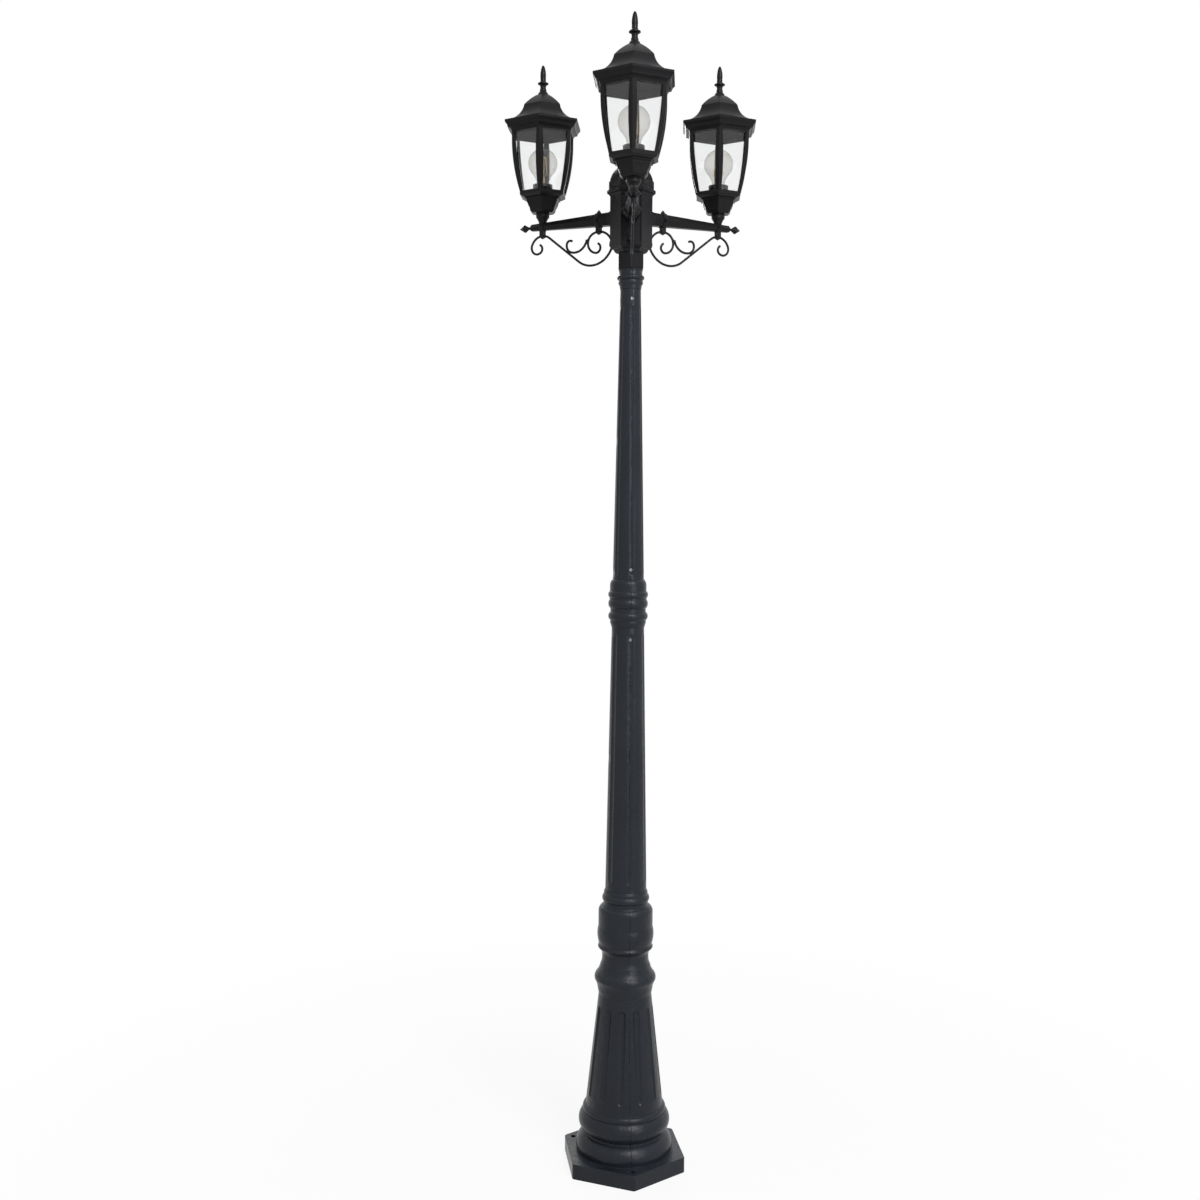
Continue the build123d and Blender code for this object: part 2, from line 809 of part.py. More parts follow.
def cap_body(inset):
    """The hub cap's outer form, or the hollow inside it."""
    return hexagonal(
        (hub_apothem, cap_foot_z),
        (cap_brim_radius * hexagon, cap_brim_z, -1),
        (cap_brim_radius * hexagon, cap_brim_z + cap_brim_height),
        (cap_band_radius * hexagon, cap_band_z, -1),
        (cap_band_radius * hexagon, cap_band_top_z),
        (dome_foot_radius * hexagon, cap_band_top_z),
        (dome_top_radius * hexagon, dome_top_z, dome_bulge),
        inset=inset,
        face_turn=30,
    )


cap_register = hexagonal(
    (hub_inner_apothem - register_gap, cap_foot_z - cap_register_height),
    (hub_inner_apothem - register_gap, cap_foot_z + cap_wall),
    face_turn=30,
)
cap_mouth = hexagonal(
    (hub_inner_apothem - cap_wall, cap_foot_z - cap_register_height),
    (hub_inner_apothem - cap_wall, cap_band_z),
    face_turn=30,
)

with BuildPart() as hub_cap:
    add(cap_body(0))
    add(cap_body(cap_wall), mode=Mode.SUBTRACT)
    add(cap_register)
    add(cap_mouth, mode=Mode.SUBTRACT)
hub_cap.part.label = "hub_cap"
export_step(hub_cap.part, "parts/hub_cap.step")

# ---------------------------------------------------------------------------------------------------
# Set screws: three at each of the three joints of the poles
# ---------------------------------------------------------------------------------------------------

joints = (
    (coupling_screw_z, spigot_lower_radius, lower_pole_radius(coupling_screw_z)),
    (upper_foot_screw_z, spigot_upper_radius, upper_pole_radius(upper_foot_screw_z)),
    (upper_top_screw_z, hub_spigot_radius, upper_pole_radius(upper_top_screw_z)),
)

with BuildPart() as set_screws:
    for screw_z, screw_foot, pole_radius in joints:
        screw_head = pole_radius - set_screw_sink
        radial_holes(screw_z, screw_foot + seat_gap, screw_head, set_screw_radius, mode=Mode.ADD)
        radial_holes(screw_z, screw_head - set_screw_socket_depth, screw_head + 1, set_screw_socket_radius)
set_screws.part.label = "set_screws"
export_step(set_screws.part, "parts/set_screws.step")

# ---------------------------------------------------------------------------------------------------
# Path of the scroll's rod, as (distance from the pole's axis, height) in the plane of the front arm
# ---------------------------------------------------------------------------------------------------

scroll_plane = Plane(origin=(0, 0, 0), x_dir=(0, -1, 0), z_dir=(-1, 0, 0))
rod_start = Vector(hub_apothem + rod_standoff, arm_z - clip_drop)
rod_touch = 2 * rod_radius - weld_depth


def left_of(turn):
    """Unit vector to the left of a direction in the arm's plane."""
    return Vector(-sin(radians(turn)), cos(radians(turn)))


def along(turn):
    """Unit vector in a direction in the arm's plane."""
    return Vector(cos(radians(turn)), sin(radians(turn)))


def pair(place):
    """A place in the arm's plane as the two numbers a drawing takes."""
    return (place.X, place.Y)


def turned_on(place, turn, radius, sweep):
    """The place and direction after an arc. A positive sweep turns to the left."""
    side = 1 if sweep > 0 else -1
    centre = place + left_of(turn) * radius * side
    return centre - left_of(turn + sweep) * radius * side, turn + sweep


belly_start, belly_turn = turned_on(rod_start, -90, hub_bend_radius, hub_bend_down)
belly_centre = belly_start + left_of(belly_turn) * belly_radius
crest_centre = Vector(lantern_reach, arm_z - crest_drop - crest_radius)
centres_apart = crest_centre - belly_centre
run_length = sqrt(centres_apart.length**2 - (belly_radius + crest_radius) ** 2)
run_turn = degrees(atan2(centres_apart.Y, centres_apart.X) + atan2(belly_radius + crest_radius, run_length))
run_start = belly_centre - left_of(run_turn) * belly_radius

rise_end, rise_turn = turned_on(rod_start, 90, hub_bend_radius, -hub_bend_up)
inner_crest_centre = rise_end - left_of(rise_turn) * inner_crest_radius
inner_crest = inner_crest_centre + Vector(0, inner_crest_radius)
inner_end, inner_turn = turned_on(rise_end, rise_turn, inner_crest_radius, -inner_crest_sweep)
inner_bend_centre = inner_end - left_of(inner_turn) * inner_bend_radius

small_contact = run_start + along(run_turn) * small_seat + left_of(run_turn) * rod_touch
small_back, back_turn = turned_on(small_contact, run_turn + 180, small_bend_radius, -small_back_sweep)
back_turn = back_turn - 180
reach_over = small_back - inner_bend_centre
apart = inner_bend_radius + rod_touch
small_back_radius = (reach_over.length**2 - apart**2) / (2 * (apart - reach_over.dot(left_of(back_turn))))
touch_line = small_back + left_of(back_turn) * small_back_radius - inner_bend_centre
touch_sweep = back_turn - degrees(atan2(-touch_line.X, touch_line.Y)) + small_tip_sweep

# ---------------------------------------------------------------------------------------------------
# Scroll clips on the hub: a square post with a pyramid end beside each arm's face, bored for the rod
# ---------------------------------------------------------------------------------------------------


def cut_rod_hole(centre, radius):
    """Cut the bent hole of the scroll's rod, on the arc with this centre and radius."""
    with Locations(scroll_plane.from_local_coords(centre)):
        Torus(radius, rod_radius + rod_gap, rotation=(0, 90, 0), mode=Mode.SUBTRACT)


clip_end = rod_start.X + clip_cover

with BuildPart() as clip:
    with BuildSketch(across(arm_root + seat_gap, rod_start.Y)):
        Rectangle(clip_width, clip_width)
    extrude(amount=clip_end - arm_root - seat_gap)
    with BuildSketch(across(clip_end, rod_start.Y)) as clip_face:
        Rectangle(clip_width, clip_width)
    loft([clip_face.sketch.faces()[0], Vertex(0, -clip_end - clip_point, rod_start.Y)])
    cut_rod_hole(rod_start + Vector(hub_bend_radius, 0), hub_bend_radius)

with BuildPart() as scroll_clips:
    for heading in headings.values():
        add(clip.part.rotate(Axis.Z, heading))
scroll_clips.part.label = "scroll_clips"
export_step(scroll_clips.part, "parts/scroll_clips.step")

# ---------------------------------------------------------------------------------------------------
# Arm: a hollow tapered hexagon, flared at its root, with a round spigot through the hub's wall
# ---------------------------------------------------------------------------------------------------

arm_foot = arm_root + seat_gap
flare_foot = hub_apothem + register_gap
flare_end = flare_foot + arm_flare_length

with BuildPart() as arm:
    hex_taper(arm_foot, arm_end, arm_flats(arm_foot), arm_flats(arm_end))
    hex_taper(flare_foot, flare_end, arm_flats(flare_foot) + 2 * arm_flare, arm_flats(flare_end))
    hex_taper(
        arm_foot + arm_wall,
        arm_end,
        arm_flats(arm_foot + arm_wall) - 2 * arm_wall,
        arm_flats(arm_end) - 2 * arm_wall,
        mode=Mode.SUBTRACT,
    )
    round_bar((0, -arm_foot + arm_spigot_reach, arm_z), (0, -arm_foot - arm_wall, arm_z), arm_spigot_radius)
    round_bar(
        (0, -arm_foot + arm_spigot_reach, arm_z),
        (0, -arm_foot - arm_wall, arm_z),
        arm_spigot_bore_radius,
        mode=Mode.SUBTRACT,
    )
    arm_half = arm_flats(lantern_reach + nipple_radius) / 2
    round_bar(
        (0, -lantern_reach, arm_z),
        (0, -lantern_reach, arm_z + 2 * arm_half),
        nipple_radius + screw_gap,
        mode=Mode.SUBTRACT,
    )
    round_bar(
        (0, -lantern_reach, arm_z),
        (0, -lantern_reach, arm_z - 2 * arm_half),
        nipple_stud_radius + screw_gap,
        mode=Mode.SUBTRACT,
    )

# ---------------------------------------------------------------------------------------------------
# Arm tip: a plug, a short taper, a neck and a pointed bead
# ---------------------------------------------------------------------------------------------------

tip_foot = arm_end + seat_gap
tip_neck_end = tip_foot + tip_taper_length + tip_neck_length
tip_bead_end = tip_neck_end + tip_bead_rise
plug_flats = arm_flats(arm_end) - 2 * arm_wall - 2 * register_gap

with BuildPart() as arm_tip:
    hex_taper(arm_end - tip_plug_length, tip_foot, plug_flats, plug_flats)
    hex_taper(tip_foot, tip_foot + tip_taper_length, arm_end_flats, tip_taper_flats)
    with BuildSketch(scroll_plane) as tip_section:
        with BuildLine(Plane.XY):
            Polyline(
                (tip_foot + 1, arm_z),
                (tip_foot + 1, arm_z + tip_neck_radius),
                (tip_neck_end, arm_z + tip_neck_radius),
                (tip_bead_end, arm_z + tip_bead_radius),
                (tip_bead_end + tip_point_length, arm_z),
                close=True,
            )
        make_face()
    revolve(tip_section.sketch, axis=Axis((0, 0, arm_z), (0, -1, 0)))

# ---------------------------------------------------------------------------------------------------
# Scroll bracket: one long rod bent into two curls, and a short one welded between its two bends
# ---------------------------------------------------------------------------------------------------

with BuildPart() as scroll_bracket:
    with BuildLine(scroll_plane) as long_rod:
        lower_bend = JernArc(pair(rod_start), (0, -1), hub_bend_radius, hub_bend_down)
        belly = JernArc(lower_bend @ 1, lower_bend % 1, belly_radius, run_turn - belly_turn)
        run = Line(belly @ 1, belly @ 1 + (belly % 1) * run_length)
        crest = JernArc(run @ 1, run % 1, crest_radius, -run_turn - outer_crest_sweep)
        outer_bend = JernArc(crest @ 1, crest % 1, outer_bend_radius, -outer_bend_sweep)
        JernArc(outer_bend @ 1, outer_bend % 1, outer_curl_radius, -outer_curl_sweep)
        upper_bend = JernArc(pair(rod_start), (0, 1), hub_bend_radius, -hub_bend_up)
        inner_top = JernArc(upper_bend @ 1, upper_bend % 1, inner_crest_radius, -inner_crest_sweep)
        inner_bend = JernArc(inner_top @ 1, inner_top % 1, inner_bend_radius, -inner_bend_sweep)
        JernArc(inner_bend @ 1, inner_bend % 1, inner_curl_radius, -inner_curl_sweep)
    long_path = long_rod.wire()
    with BuildSketch(Plane(origin=long_path @ 0, z_dir=long_path % 0)) as rod_end:
        Circle(rod_radius)
    sweep(rod_end.sketch, path=long_path)
    with BuildLine(scroll_plane) as short_rod:
        out = JernArc(pair(small_contact), pair(along(run_turn)), small_bend_radius, small_bend_sweep)
        JernArc(out @ 1, out % 1, small_curl_radius, small_curl_sweep)
        back = JernArc(pair(small_contact), pair(-along(run_turn)), small_bend_radius, -small_back_sweep)
        JernArc(back @ 1, back % 1, small_back_radius, -touch_sweep)
    short_path = short_rod.wire()
    with BuildSketch(Plane(origin=short_path @ 0, z_dir=short_path % 0)) as rod_end:
        Circle(rod_radius)
    sweep(rod_end.sketch, path=short_path)

# ---------------------------------------------------------------------------------------------------
# Scroll clamp and lantern saddle: diamond plates around the arm, each with a lug that grips the scroll
# ---------------------------------------------------------------------------------------------------


def diamond_plate(s, half_width, thickness, lug_end):
    """Bevelled square plate on its corner around the arm, with a square lug that ends in a pyramid."""
    near = s - thickness / 2
    with BuildPart() as plate:
        with BuildSketch(across(near, arm_z)):
            Rectangle(half_width * sqrt(2), half_width * sqrt(2), rotation=45)
        extrude(amount=thickness)
        chamfer(plate.faces().filter_by(Axis.Y).edges(), clamp_bevel)
        collar = 2 * (clamp_gap + clamp_collar_wall)
        hex_taper(near, near + thickness, arm_flats(near) + collar, arm_flats(near + thickness) + collar)
        with BuildSketch(Plane(origin=(0, -s, lug_end))) as lug_face:
            Rectangle(clip_width, clip_width)
        extrude(lug_face.sketch, amount=arm_z - lug_end)
        loft([lug_face.sketch.faces()[0], Vertex(0, -s, lug_end - clip_point)])
        hex_taper(
            near - 1,
            near + thickness + 1,
            arm_flats(near - 1) + 2 * clamp_gap,
            arm_flats(near + thickness + 1) + 2 * clamp_gap,
            mode=Mode.SUBTRACT,
        )
    return plate.part


with BuildPart() as scroll_clamp:
    add(diamond_plate(inner_crest.X, clamp_half_width, clamp_thickness, inner_crest.Y - clip_cover))
    cut_rod_hole(inner_crest_centre, inner_crest_radius)

saddle_lug_end = crest_centre.Y + crest_radius - clip_cover
saddle_top_z = arm_z + arm_flats(lantern_reach + saddle_thickness) / 2

with BuildPart() as lantern_saddle:
    add(diamond_plate(lantern_reach, saddle_half_width, saddle_thickness, saddle_lug_end))
    split(bisect_by=Plane.XY.offset(saddle_top_z), keep=Keep.BOTTOM)
    cut_rod_hole(crest_centre, crest_radius)
    round_bar(
        (0, -lantern_reach, arm_z),
        (0, -lantern_reach, arm_z - arm_half - nipple_stud_depth),
        nipple_stud_radius + screw_gap,
        mode=Mode.SUBTRACT,
    )

# ---------------------------------------------------------------------------------------------------
# Lantern, drawn about its own axis from the foot of its stem. Its radii run to the hexagon's corners.
# ---------------------------------------------------------------------------------------------------

lantern_foot_z = arm_z + arm_flats(lantern_reach - stem_foot_radius) / 2 + seat_gap
cup_z = stem_cone_height + stem_height
cup_bevel_z = cup_z + cup_bevel_height
cup_cove_z = cup_bevel_z + cup_body_height
cup_rim_z = cup_cove_z + cup_cove_height
cage_z = cup_rim_z + cup_rim_height
sill_z = cage_z + cage_sill_bevel
post_z = sill_z + cage_sill_height
cornice_z = post_z + post_height
cornice_top_z = cornice_z + cornice_height
guide_z = cornice_top_z + collar_guide_height
eave_z = cornice_top_z + skirt_height
eave_top_z = eave_z + eave_height
shoulder_z = eave_top_z + eave_rise
roof_top_z = shoulder_z + roof_cap_rise
cup_floor_z = cup_z + cup_floor
glass_foot_z = post_z - cage_ledge

nipple_foot_z = arm_z - nipple_drop - lantern_foot_z
nipple_stud_z = arm_z - arm_half - nipple_stud_depth + seat_gap - lantern_foot_z
nipple_top_z = cup_floor_z + seat_gap + nipple_nut_height + 2

with BuildPart() as lantern_nipple:
    turned(
        (0, nipple_stud_z),
        (nipple_stud_radius, nipple_stud_z),
        (nipple_stud_radius, nipple_foot_z),
        (nipple_radius, nipple_foot_z),
        (nipple_radius, nipple_top_z),
        (0, nipple_top_z),
    )
    hexagonal_nut = hexagonal(
        (nipple_nut_radius * hexagon, cup_floor_z + seat_gap),
        (nipple_nut_radius * hexagon, cup_floor_z + seat_gap + nipple_nut_height),
    )
    add(hexagonal_nut)
    round_bar((0, 0, nipple_foot_z + 1.5), (0, 0, nipple_top_z), nipple_bore_radius, mode=Mode.SUBTRACT)
    wire_z = arm_z + 1.5 - lantern_foot_z
    round_bar((0, 0, wire_z), (0, nipple_nut_radius, wire_z), nipple_wire_radius, mode=Mode.SUBTRACT)

# ---------------------------------------------------------------------------------------------------
# Cup: a round stem under a six sided pan with a shallow panel on each side
# ---------------------------------------------------------------------------------------------------

cup_form = (
    (cup_foot_radius * hexagon, cup_z),
    (cup_bevel_radius * hexagon, cup_bevel_z),
    (cup_body_radius * hexagon, cup_cove_z),
    (cup_cove_radius * hexagon, cup_rim_z, -0.5),
    (cup_rim_radius * hexagon, cup_rim_z),
    (cup_rim_radius * hexagon, cage_z),
)
cup_side_turn = degrees(atan2((cup_body_radius - cup_bevel_radius) * hexagon, cup_body_height))
cup_side_middle = (cup_body_radius + cup_bevel_radius) / 2

with BuildPart() as cup:
    turned(
        (0, 0),
        (stem_foot_radius, 0),
        (stem_radius, stem_cone_height, -0.8),
        (stem_radius, cup_z),
        (0, cup_z),
    )
    add(hexagonal(*cup_form))
    add(
        hexagonal(
            (cup_bevel_radius * hexagon - cup_wall, cup_floor_z),
            (cup_body_radius * hexagon - cup_wall, cup_cove_z),
            (cage_bore_radius, cage_z),
        ),
        mode=Mode.SUBTRACT,
    )
    round_bar((0, 0, 0), (0, 0, cup_floor_z), nipple_radius + screw_gap, mode=Mode.SUBTRACT)
    for side in range(6):
        panel = (
            Plane.XY.rotated((0, 0, 30 + 60 * side))
            * Pos(0, -cup_side_middle * hexagon, (cup_bevel_z + cup_cove_z) / 2)
            * Rot(90 + cup_side_turn, 0, 0)
        )
        with BuildSketch(panel) as panel_face:
            Trapezoid(cup_body_radius - cup_panel_border, cup_body_height - cup_panel_border, 83)
        extrude(panel_face.sketch, amount=-cup_panel_depth, mode=Mode.SUBTRACT)

# ---------------------------------------------------------------------------------------------------
# Cage: a sill, six bent posts and a cornice, cast in one piece
# ---------------------------------------------------------------------------------------------------

post_bend_z = post_z + post_bend_height
cage_form = (
    (cage_sill_foot_radius * hexagon, cage_z + seat_gap),
    (cage_sill_radius * hexagon, sill_z),
    (cage_sill_radius * hexagon, post_z),
    (post_foot_apothem, post_z),
    (post_top_apothem, post_bend_z, post_bend_bulge),
    (post_top_apothem, cornice_z),
    (cornice_radius * hexagon, cornice_top_z, -1.5),
)
cage_room = (
    (cage_bore_radius * hexagon, cage_z),
    (cage_bore_radius * hexagon, glass_foot_z),
    (post_foot_apothem - cage_wall, glass_foot_z),
    (post_foot_apothem - cage_wall, post_z),
    (post_top_apothem - cage_wall, post_bend_z, post_bend_bulge),
    (post_top_apothem - cage_wall, guide_z + 1),
)
guide_apothem = skirt_foot_radius * hexagon - skirt_wall - skirt_gap

with BuildPart() as window:
    with BuildSketch(Plane.XZ):
        with BuildLine():
            Polyline(
                (post_foot_apothem * tan(radians(30)) - post_flange_foot, post_z),
                (post_top_apothem * tan(radians(30)) - post_flange_top, cornice_z),
                (-post_top_apothem * tan(radians(30)) + post_flange_top, cornice_z),
                (-post_foot_apothem * tan(radians(30)) + post_flange_foot, post_z),
                close=True,
            )
        make_face()
    extrude(amount=2 * post_top_apothem)

with BuildPart() as cage:
    add(hexagonal(*cage_form))
    add(hexagonal((guide_apothem, cornice_top_z), (guide_apothem, guide_z)))
    add(hexagonal(*cage_room), mode=Mode.SUBTRACT)
    add(
        hexagonal(
            (guide_apothem - collar_guide_wall, cornice_top_z - 1),
            (guide_apothem - collar_guide_wall, guide_z),
        ),
        mode=Mode.SUBTRACT,
    )
    for side in range(6):
        add(window.part.rotate(Axis.Z, 30 + 60 * side), mode=Mode.SUBTRACT)

# ---------------------------------------------------------------------------------------------------
# Glass: six panes behind the posts, from the ledge of the sill to behind the cornice
# ---------------------------------------------------------------------------------------------------

glass_top_z = cornice_z + glass_cover


def glass_body(inset):
    """The outer or the inner faces of the six panes together."""
    return hexagonal(
        (post_foot_apothem - inset, glass_foot_z + seat_gap),
        (post_foot_apothem - inset, post_z),
        (post_top_apothem - inset, post_bend_z, post_bend_bulge),
        (post_top_apothem - inset, glass_top_z),
    )


with BuildPart() as glass_panes:
    add(glass_body(cage_wall + glass_gap))
    add(glass_body(cage_wall + glass_gap + glass_thickness), mode=Mode.SUBTRACT)
    for corner in range(3):
        with BuildSketch(Plane.XY.offset(glass_foot_z).rotated((0, 0, 60 * corner))) as split_line:
            Rectangle(glass_split, 2 * cornice_radius)
        extrude(split_line.sketch, amount=roof_top_z, mode=Mode.SUBTRACT)

# ---------------------------------------------------------------------------------------------------
# Roof: a skirt over the cage's collar, a swept hexagonal eave and a domed cap
# ---------------------------------------------------------------------------------------------------

roof_foot_z = cornice_top_z + seat_gap
roof_form = (
    (skirt_foot_radius * hexagon, roof_foot_z),
    (eave_radius * hexagon, eave_z, -1),
    (eave_radius * hexagon, eave_top_z),
    (shoulder_radius * hexagon, shoulder_z, eave_bulge),
    (roof_cap_radius * hexagon, roof_top_z, roof_cap_bulge),
)

with BuildPart() as roof:
    add(hexagonal(*roof_form))
    add(
        hexagonal(
            (skirt_foot_radius * hexagon - skirt_wall, roof_foot_z),
            (skirt_foot_radius * hexagon - skirt_wall, guide_z + 1),
            (shoulder_radius * hexagon - roof_wall, shoulder_z - 1, eave_bulge + 2.5),
            (roof_cap_radius * hexagon, roof_top_z - 3 * roof_wall, roof_cap_bulge),
        ),
        mode=Mode.SUBTRACT,
    )
    round_bar((0, 0, shoulder_z), (0, 0, roof_top_z + 1), finial_stud_radius + screw_gap, mode=Mode.SUBTRACT)

# ---------------------------------------------------------------------------------------------------
# Finial: a turned spindle with a bead, a disc and a pointed top
# ---------------------------------------------------------------------------------------------------

finial_z = roof_top_z + seat_gap
finial_rows = (
    (finial_foot_radius, 0),
    (finial_foot_radius - 1.5, 0.067),
    (finial_bead_radius, 0.134),
    (finial_bead_radius, 0.185),
    (finial_neck_radius, 0.269, -0.3),
    (finial_neck_radius + 0.6, 0.329),
    (finial_disc_radius, 0.37),
    (finial_disc_radius, 0.403),
    (finial_shaft_radius, 0.453),
    (finial_shaft_radius, 0.655, -0.3),
    (finial_shaft_radius - 0.6, 0.79),
    (finial_shaft_radius - 2.2, 0.908),
    (finial_shaft_radius - 3.5, 0.966),
    (0, 1),
)

with BuildPart() as finial:
    turned(
        (0, finial_z - finial_stud_length),
        (finial_stud_radius, finial_z - finial_stud_length),
        (finial_stud_radius, finial_z),
        *spread(finial_z, finial_z + finial_height, finial_rows),
    )

# ---------------------------------------------------------------------------------------------------
# Lamp holder: a socket that stands on the cup's floor over the nut
# ---------------------------------------------------------------------------------------------------

holder_z = cup_floor_z + seat_gap
holder_top_z = holder_z + holder_height
socket_z = holder_top_z - holder_socket_depth

with BuildPart() as lamp_holder:
    turned(
        (0, holder_z),
        (holder_radius, holder_z),
        (holder_radius, holder_top_z - 8),
        (holder_rim_radius, holder_top_z - 7),
        (holder_rim_radius, holder_top_z),
        (0, holder_top_z),
    )
    nut_room_z = holder_z + holder_nut_room
    round_bar((0, 0, holder_z), (0, 0, nut_room_z), holder_radius - holder_wall, Mode.SUBTRACT)
    round_bar((0, 0, holder_z), (0, 0, socket_z), nipple_nut_radius / 2, Mode.SUBTRACT)
    round_bar((0, 0, socket_z), (0, 0, holder_top_z), cap_radius + bulb_cap_gap, Mode.SUBTRACT)

# ---------------------------------------------------------------------------------------------------
# Bulb: a metal cap, a glass envelope, and the glass stem with four filament sticks and their wires
# ---------------------------------------------------------------------------------------------------

bulb_cap_z = socket_z + bulb_seat_rise
bulb_cap_top_z = bulb_cap_z + bulb_cap_height
bulb_glass_z = bulb_cap_top_z - glass_in_cap
bulb_middle_z = bulb_cap_z + bulb_length - bulb_radius
neck_angle = radians(bulb_neck_angle)
glass_neck_radius = cap_radius - cap_shell - screw_gap

with BuildPart() as bulb_cap:
    turned(
        (0, bulb_cap_z),
        (3.5, bulb_cap_z),
        (5, bulb_cap_z + 2.5),
        (cap_radius - 1.5, bulb_cap_z + 5),
        (cap_radius, bulb_cap_z + 6.5),
        (cap_radius, bulb_cap_top_z),
        (0, bulb_cap_top_z),
    )
    round_bar((0, 0, bulb_glass_z - 4), (0, 0, bulb_cap_top_z), cap_radius - cap_shell, Mode.SUBTRACT)



def envelope(inset):
    """Half outline of the bulb's glass, or of the room inside it."""
    radius = bulb_radius - inset
    middle_turn = (90 + bulb_neck_angle) / 2
    return (
        (0, bulb_glass_z),
        (glass_neck_radius - inset, bulb_glass_z),
        (glass_neck_radius - inset, bulb_cap_top_z + bulb_neck_height),
        (radius * cos(neck_angle), bulb_middle_z - radius * sin(neck_angle), -bulb_neck_hollow),
        (0, bulb_middle_z + radius, radius * (1 - cos(radians(middle_turn)))),
    )


with BuildPart() as bulb_glass:
    turned(*envelope(0))
    turned(*envelope(bulb_glass_wall), mode=Mode.SUBTRACT)

stem_foot_z = bulb_glass_z + seat_gap
filament_z = bulb_cap_top_z + filament_rise
filament_top_z = filament_z + filament_length

with BuildPart() as bulb_filament:
    turned(
        (0, stem_foot_z),
        (glass_neck_radius - bulb_glass_wall - seat_gap, stem_foot_z),
        (stem_glass_radius, stem_foot_z + 8, -2),
        (stem_glass_radius, filament_z - 8),
        (2 * wire_radius, filament_z - 4),
        (2 * wire_radius, filament_top_z),
        (0, filament_top_z),
    )
    for index in range(filament_count):
        turn = radians(360 * (index + 0.5) / filament_count)
        foot = (filament_foot_circle * cos(turn), filament_foot_circle * sin(turn), filament_z)
        top = (filament_top_circle * cos(turn), filament_top_circle * sin(turn), filament_top_z)
        round_bar(foot, top, filament_radius)
        round_bar((0, 0, filament_z - 6), foot, wire_radius)
        round_bar((0, 0, filament_top_z - 3), top, wire_radius)

# ---------------------------------------------------------------------------------------------------
# The three heads: the same pieces at each arm, written out once for each
# ---------------------------------------------------------------------------------------------------

arm_pieces = {
    "arm": arm.part,
    "arm_tip": arm_tip.part,
    "scroll_bracket": scroll_bracket.part,
    "scroll_clamp": scroll_clamp.part,
    "lantern_saddle": lantern_saddle.part,
}
lantern_pieces = {
    "lantern_nipple": lantern_nipple.part,
    "cup": cup.part,
    "cage": cage.part,
    "glass_panes": glass_panes.part,
    "roof": roof.part,
    "finial": finial.part,
    "lamp_holder": lamp_holder.part,
    "bulb_cap": bulb_cap.part,
    "bulb_glass": bulb_glass.part,
    "bulb_filament": bulb_filament.part,
}

for side, heading in headings.items():
    on_arm = Location((0, 0, 0), (0, 0, heading))
    lantern_place = on_arm * Location((0, -lantern_reach, lantern_foot_z), (0, 0, lantern_turn))
    for name, piece in arm_pieces.items():
        placed = piece.moved(on_arm)
        placed.label = f"{side}_{name}"
        export_step(placed, f"parts/{side}_{name}.step")
    for name, piece in lantern_pieces.items():
        placed = piece.moved(lantern_place)
        placed.label = f"{side}_{name}"
        export_step(placed, f"parts/{side}_{name}.step")
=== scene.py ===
# %% [markdown]
# # A three headed garden lamp post
# The real post is a stack of castings, a little over two metres high, with three glazed lanterns on arms.
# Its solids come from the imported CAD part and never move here. This script gives each of them the finish
# of the real post, adds the weld beads of the scroll work, and sets up the floor, the light and the view
# of the photograph.
# Everything is in metres: the pole stands on +Z, the ground is at height 0 and the front arm points to
# -Y.

import json

import bpy
import numpy as np
from mathutils import Matrix, Vector


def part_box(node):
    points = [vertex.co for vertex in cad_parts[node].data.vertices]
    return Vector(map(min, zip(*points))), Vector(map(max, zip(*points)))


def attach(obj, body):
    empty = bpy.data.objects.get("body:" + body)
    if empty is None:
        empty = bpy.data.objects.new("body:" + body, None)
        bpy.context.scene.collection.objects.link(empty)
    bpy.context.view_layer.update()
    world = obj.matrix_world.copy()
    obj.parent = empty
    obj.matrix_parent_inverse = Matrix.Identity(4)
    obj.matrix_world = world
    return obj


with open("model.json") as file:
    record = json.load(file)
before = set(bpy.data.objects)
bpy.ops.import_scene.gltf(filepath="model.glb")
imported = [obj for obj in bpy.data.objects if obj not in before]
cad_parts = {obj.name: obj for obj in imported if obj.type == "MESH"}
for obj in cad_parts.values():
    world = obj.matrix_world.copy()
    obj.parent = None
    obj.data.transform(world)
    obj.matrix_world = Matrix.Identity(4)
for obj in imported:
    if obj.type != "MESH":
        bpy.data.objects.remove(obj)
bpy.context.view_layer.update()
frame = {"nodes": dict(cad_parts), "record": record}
nodes = frame["nodes"]

# %% [markdown]
# ## Shader maths as Python expressions
# Paint, metal and glass are sums and products of patterns. They could be wired by hand in the shader
# editor, or socket by socket in Python, but both hide the formula. So a value that changes over a surface
# is wrapped in a small class whose operators add Math nodes. `1 - grain * 0.2` makes two nodes and still
# reads as the formula.

# %% A value that changes over a surface


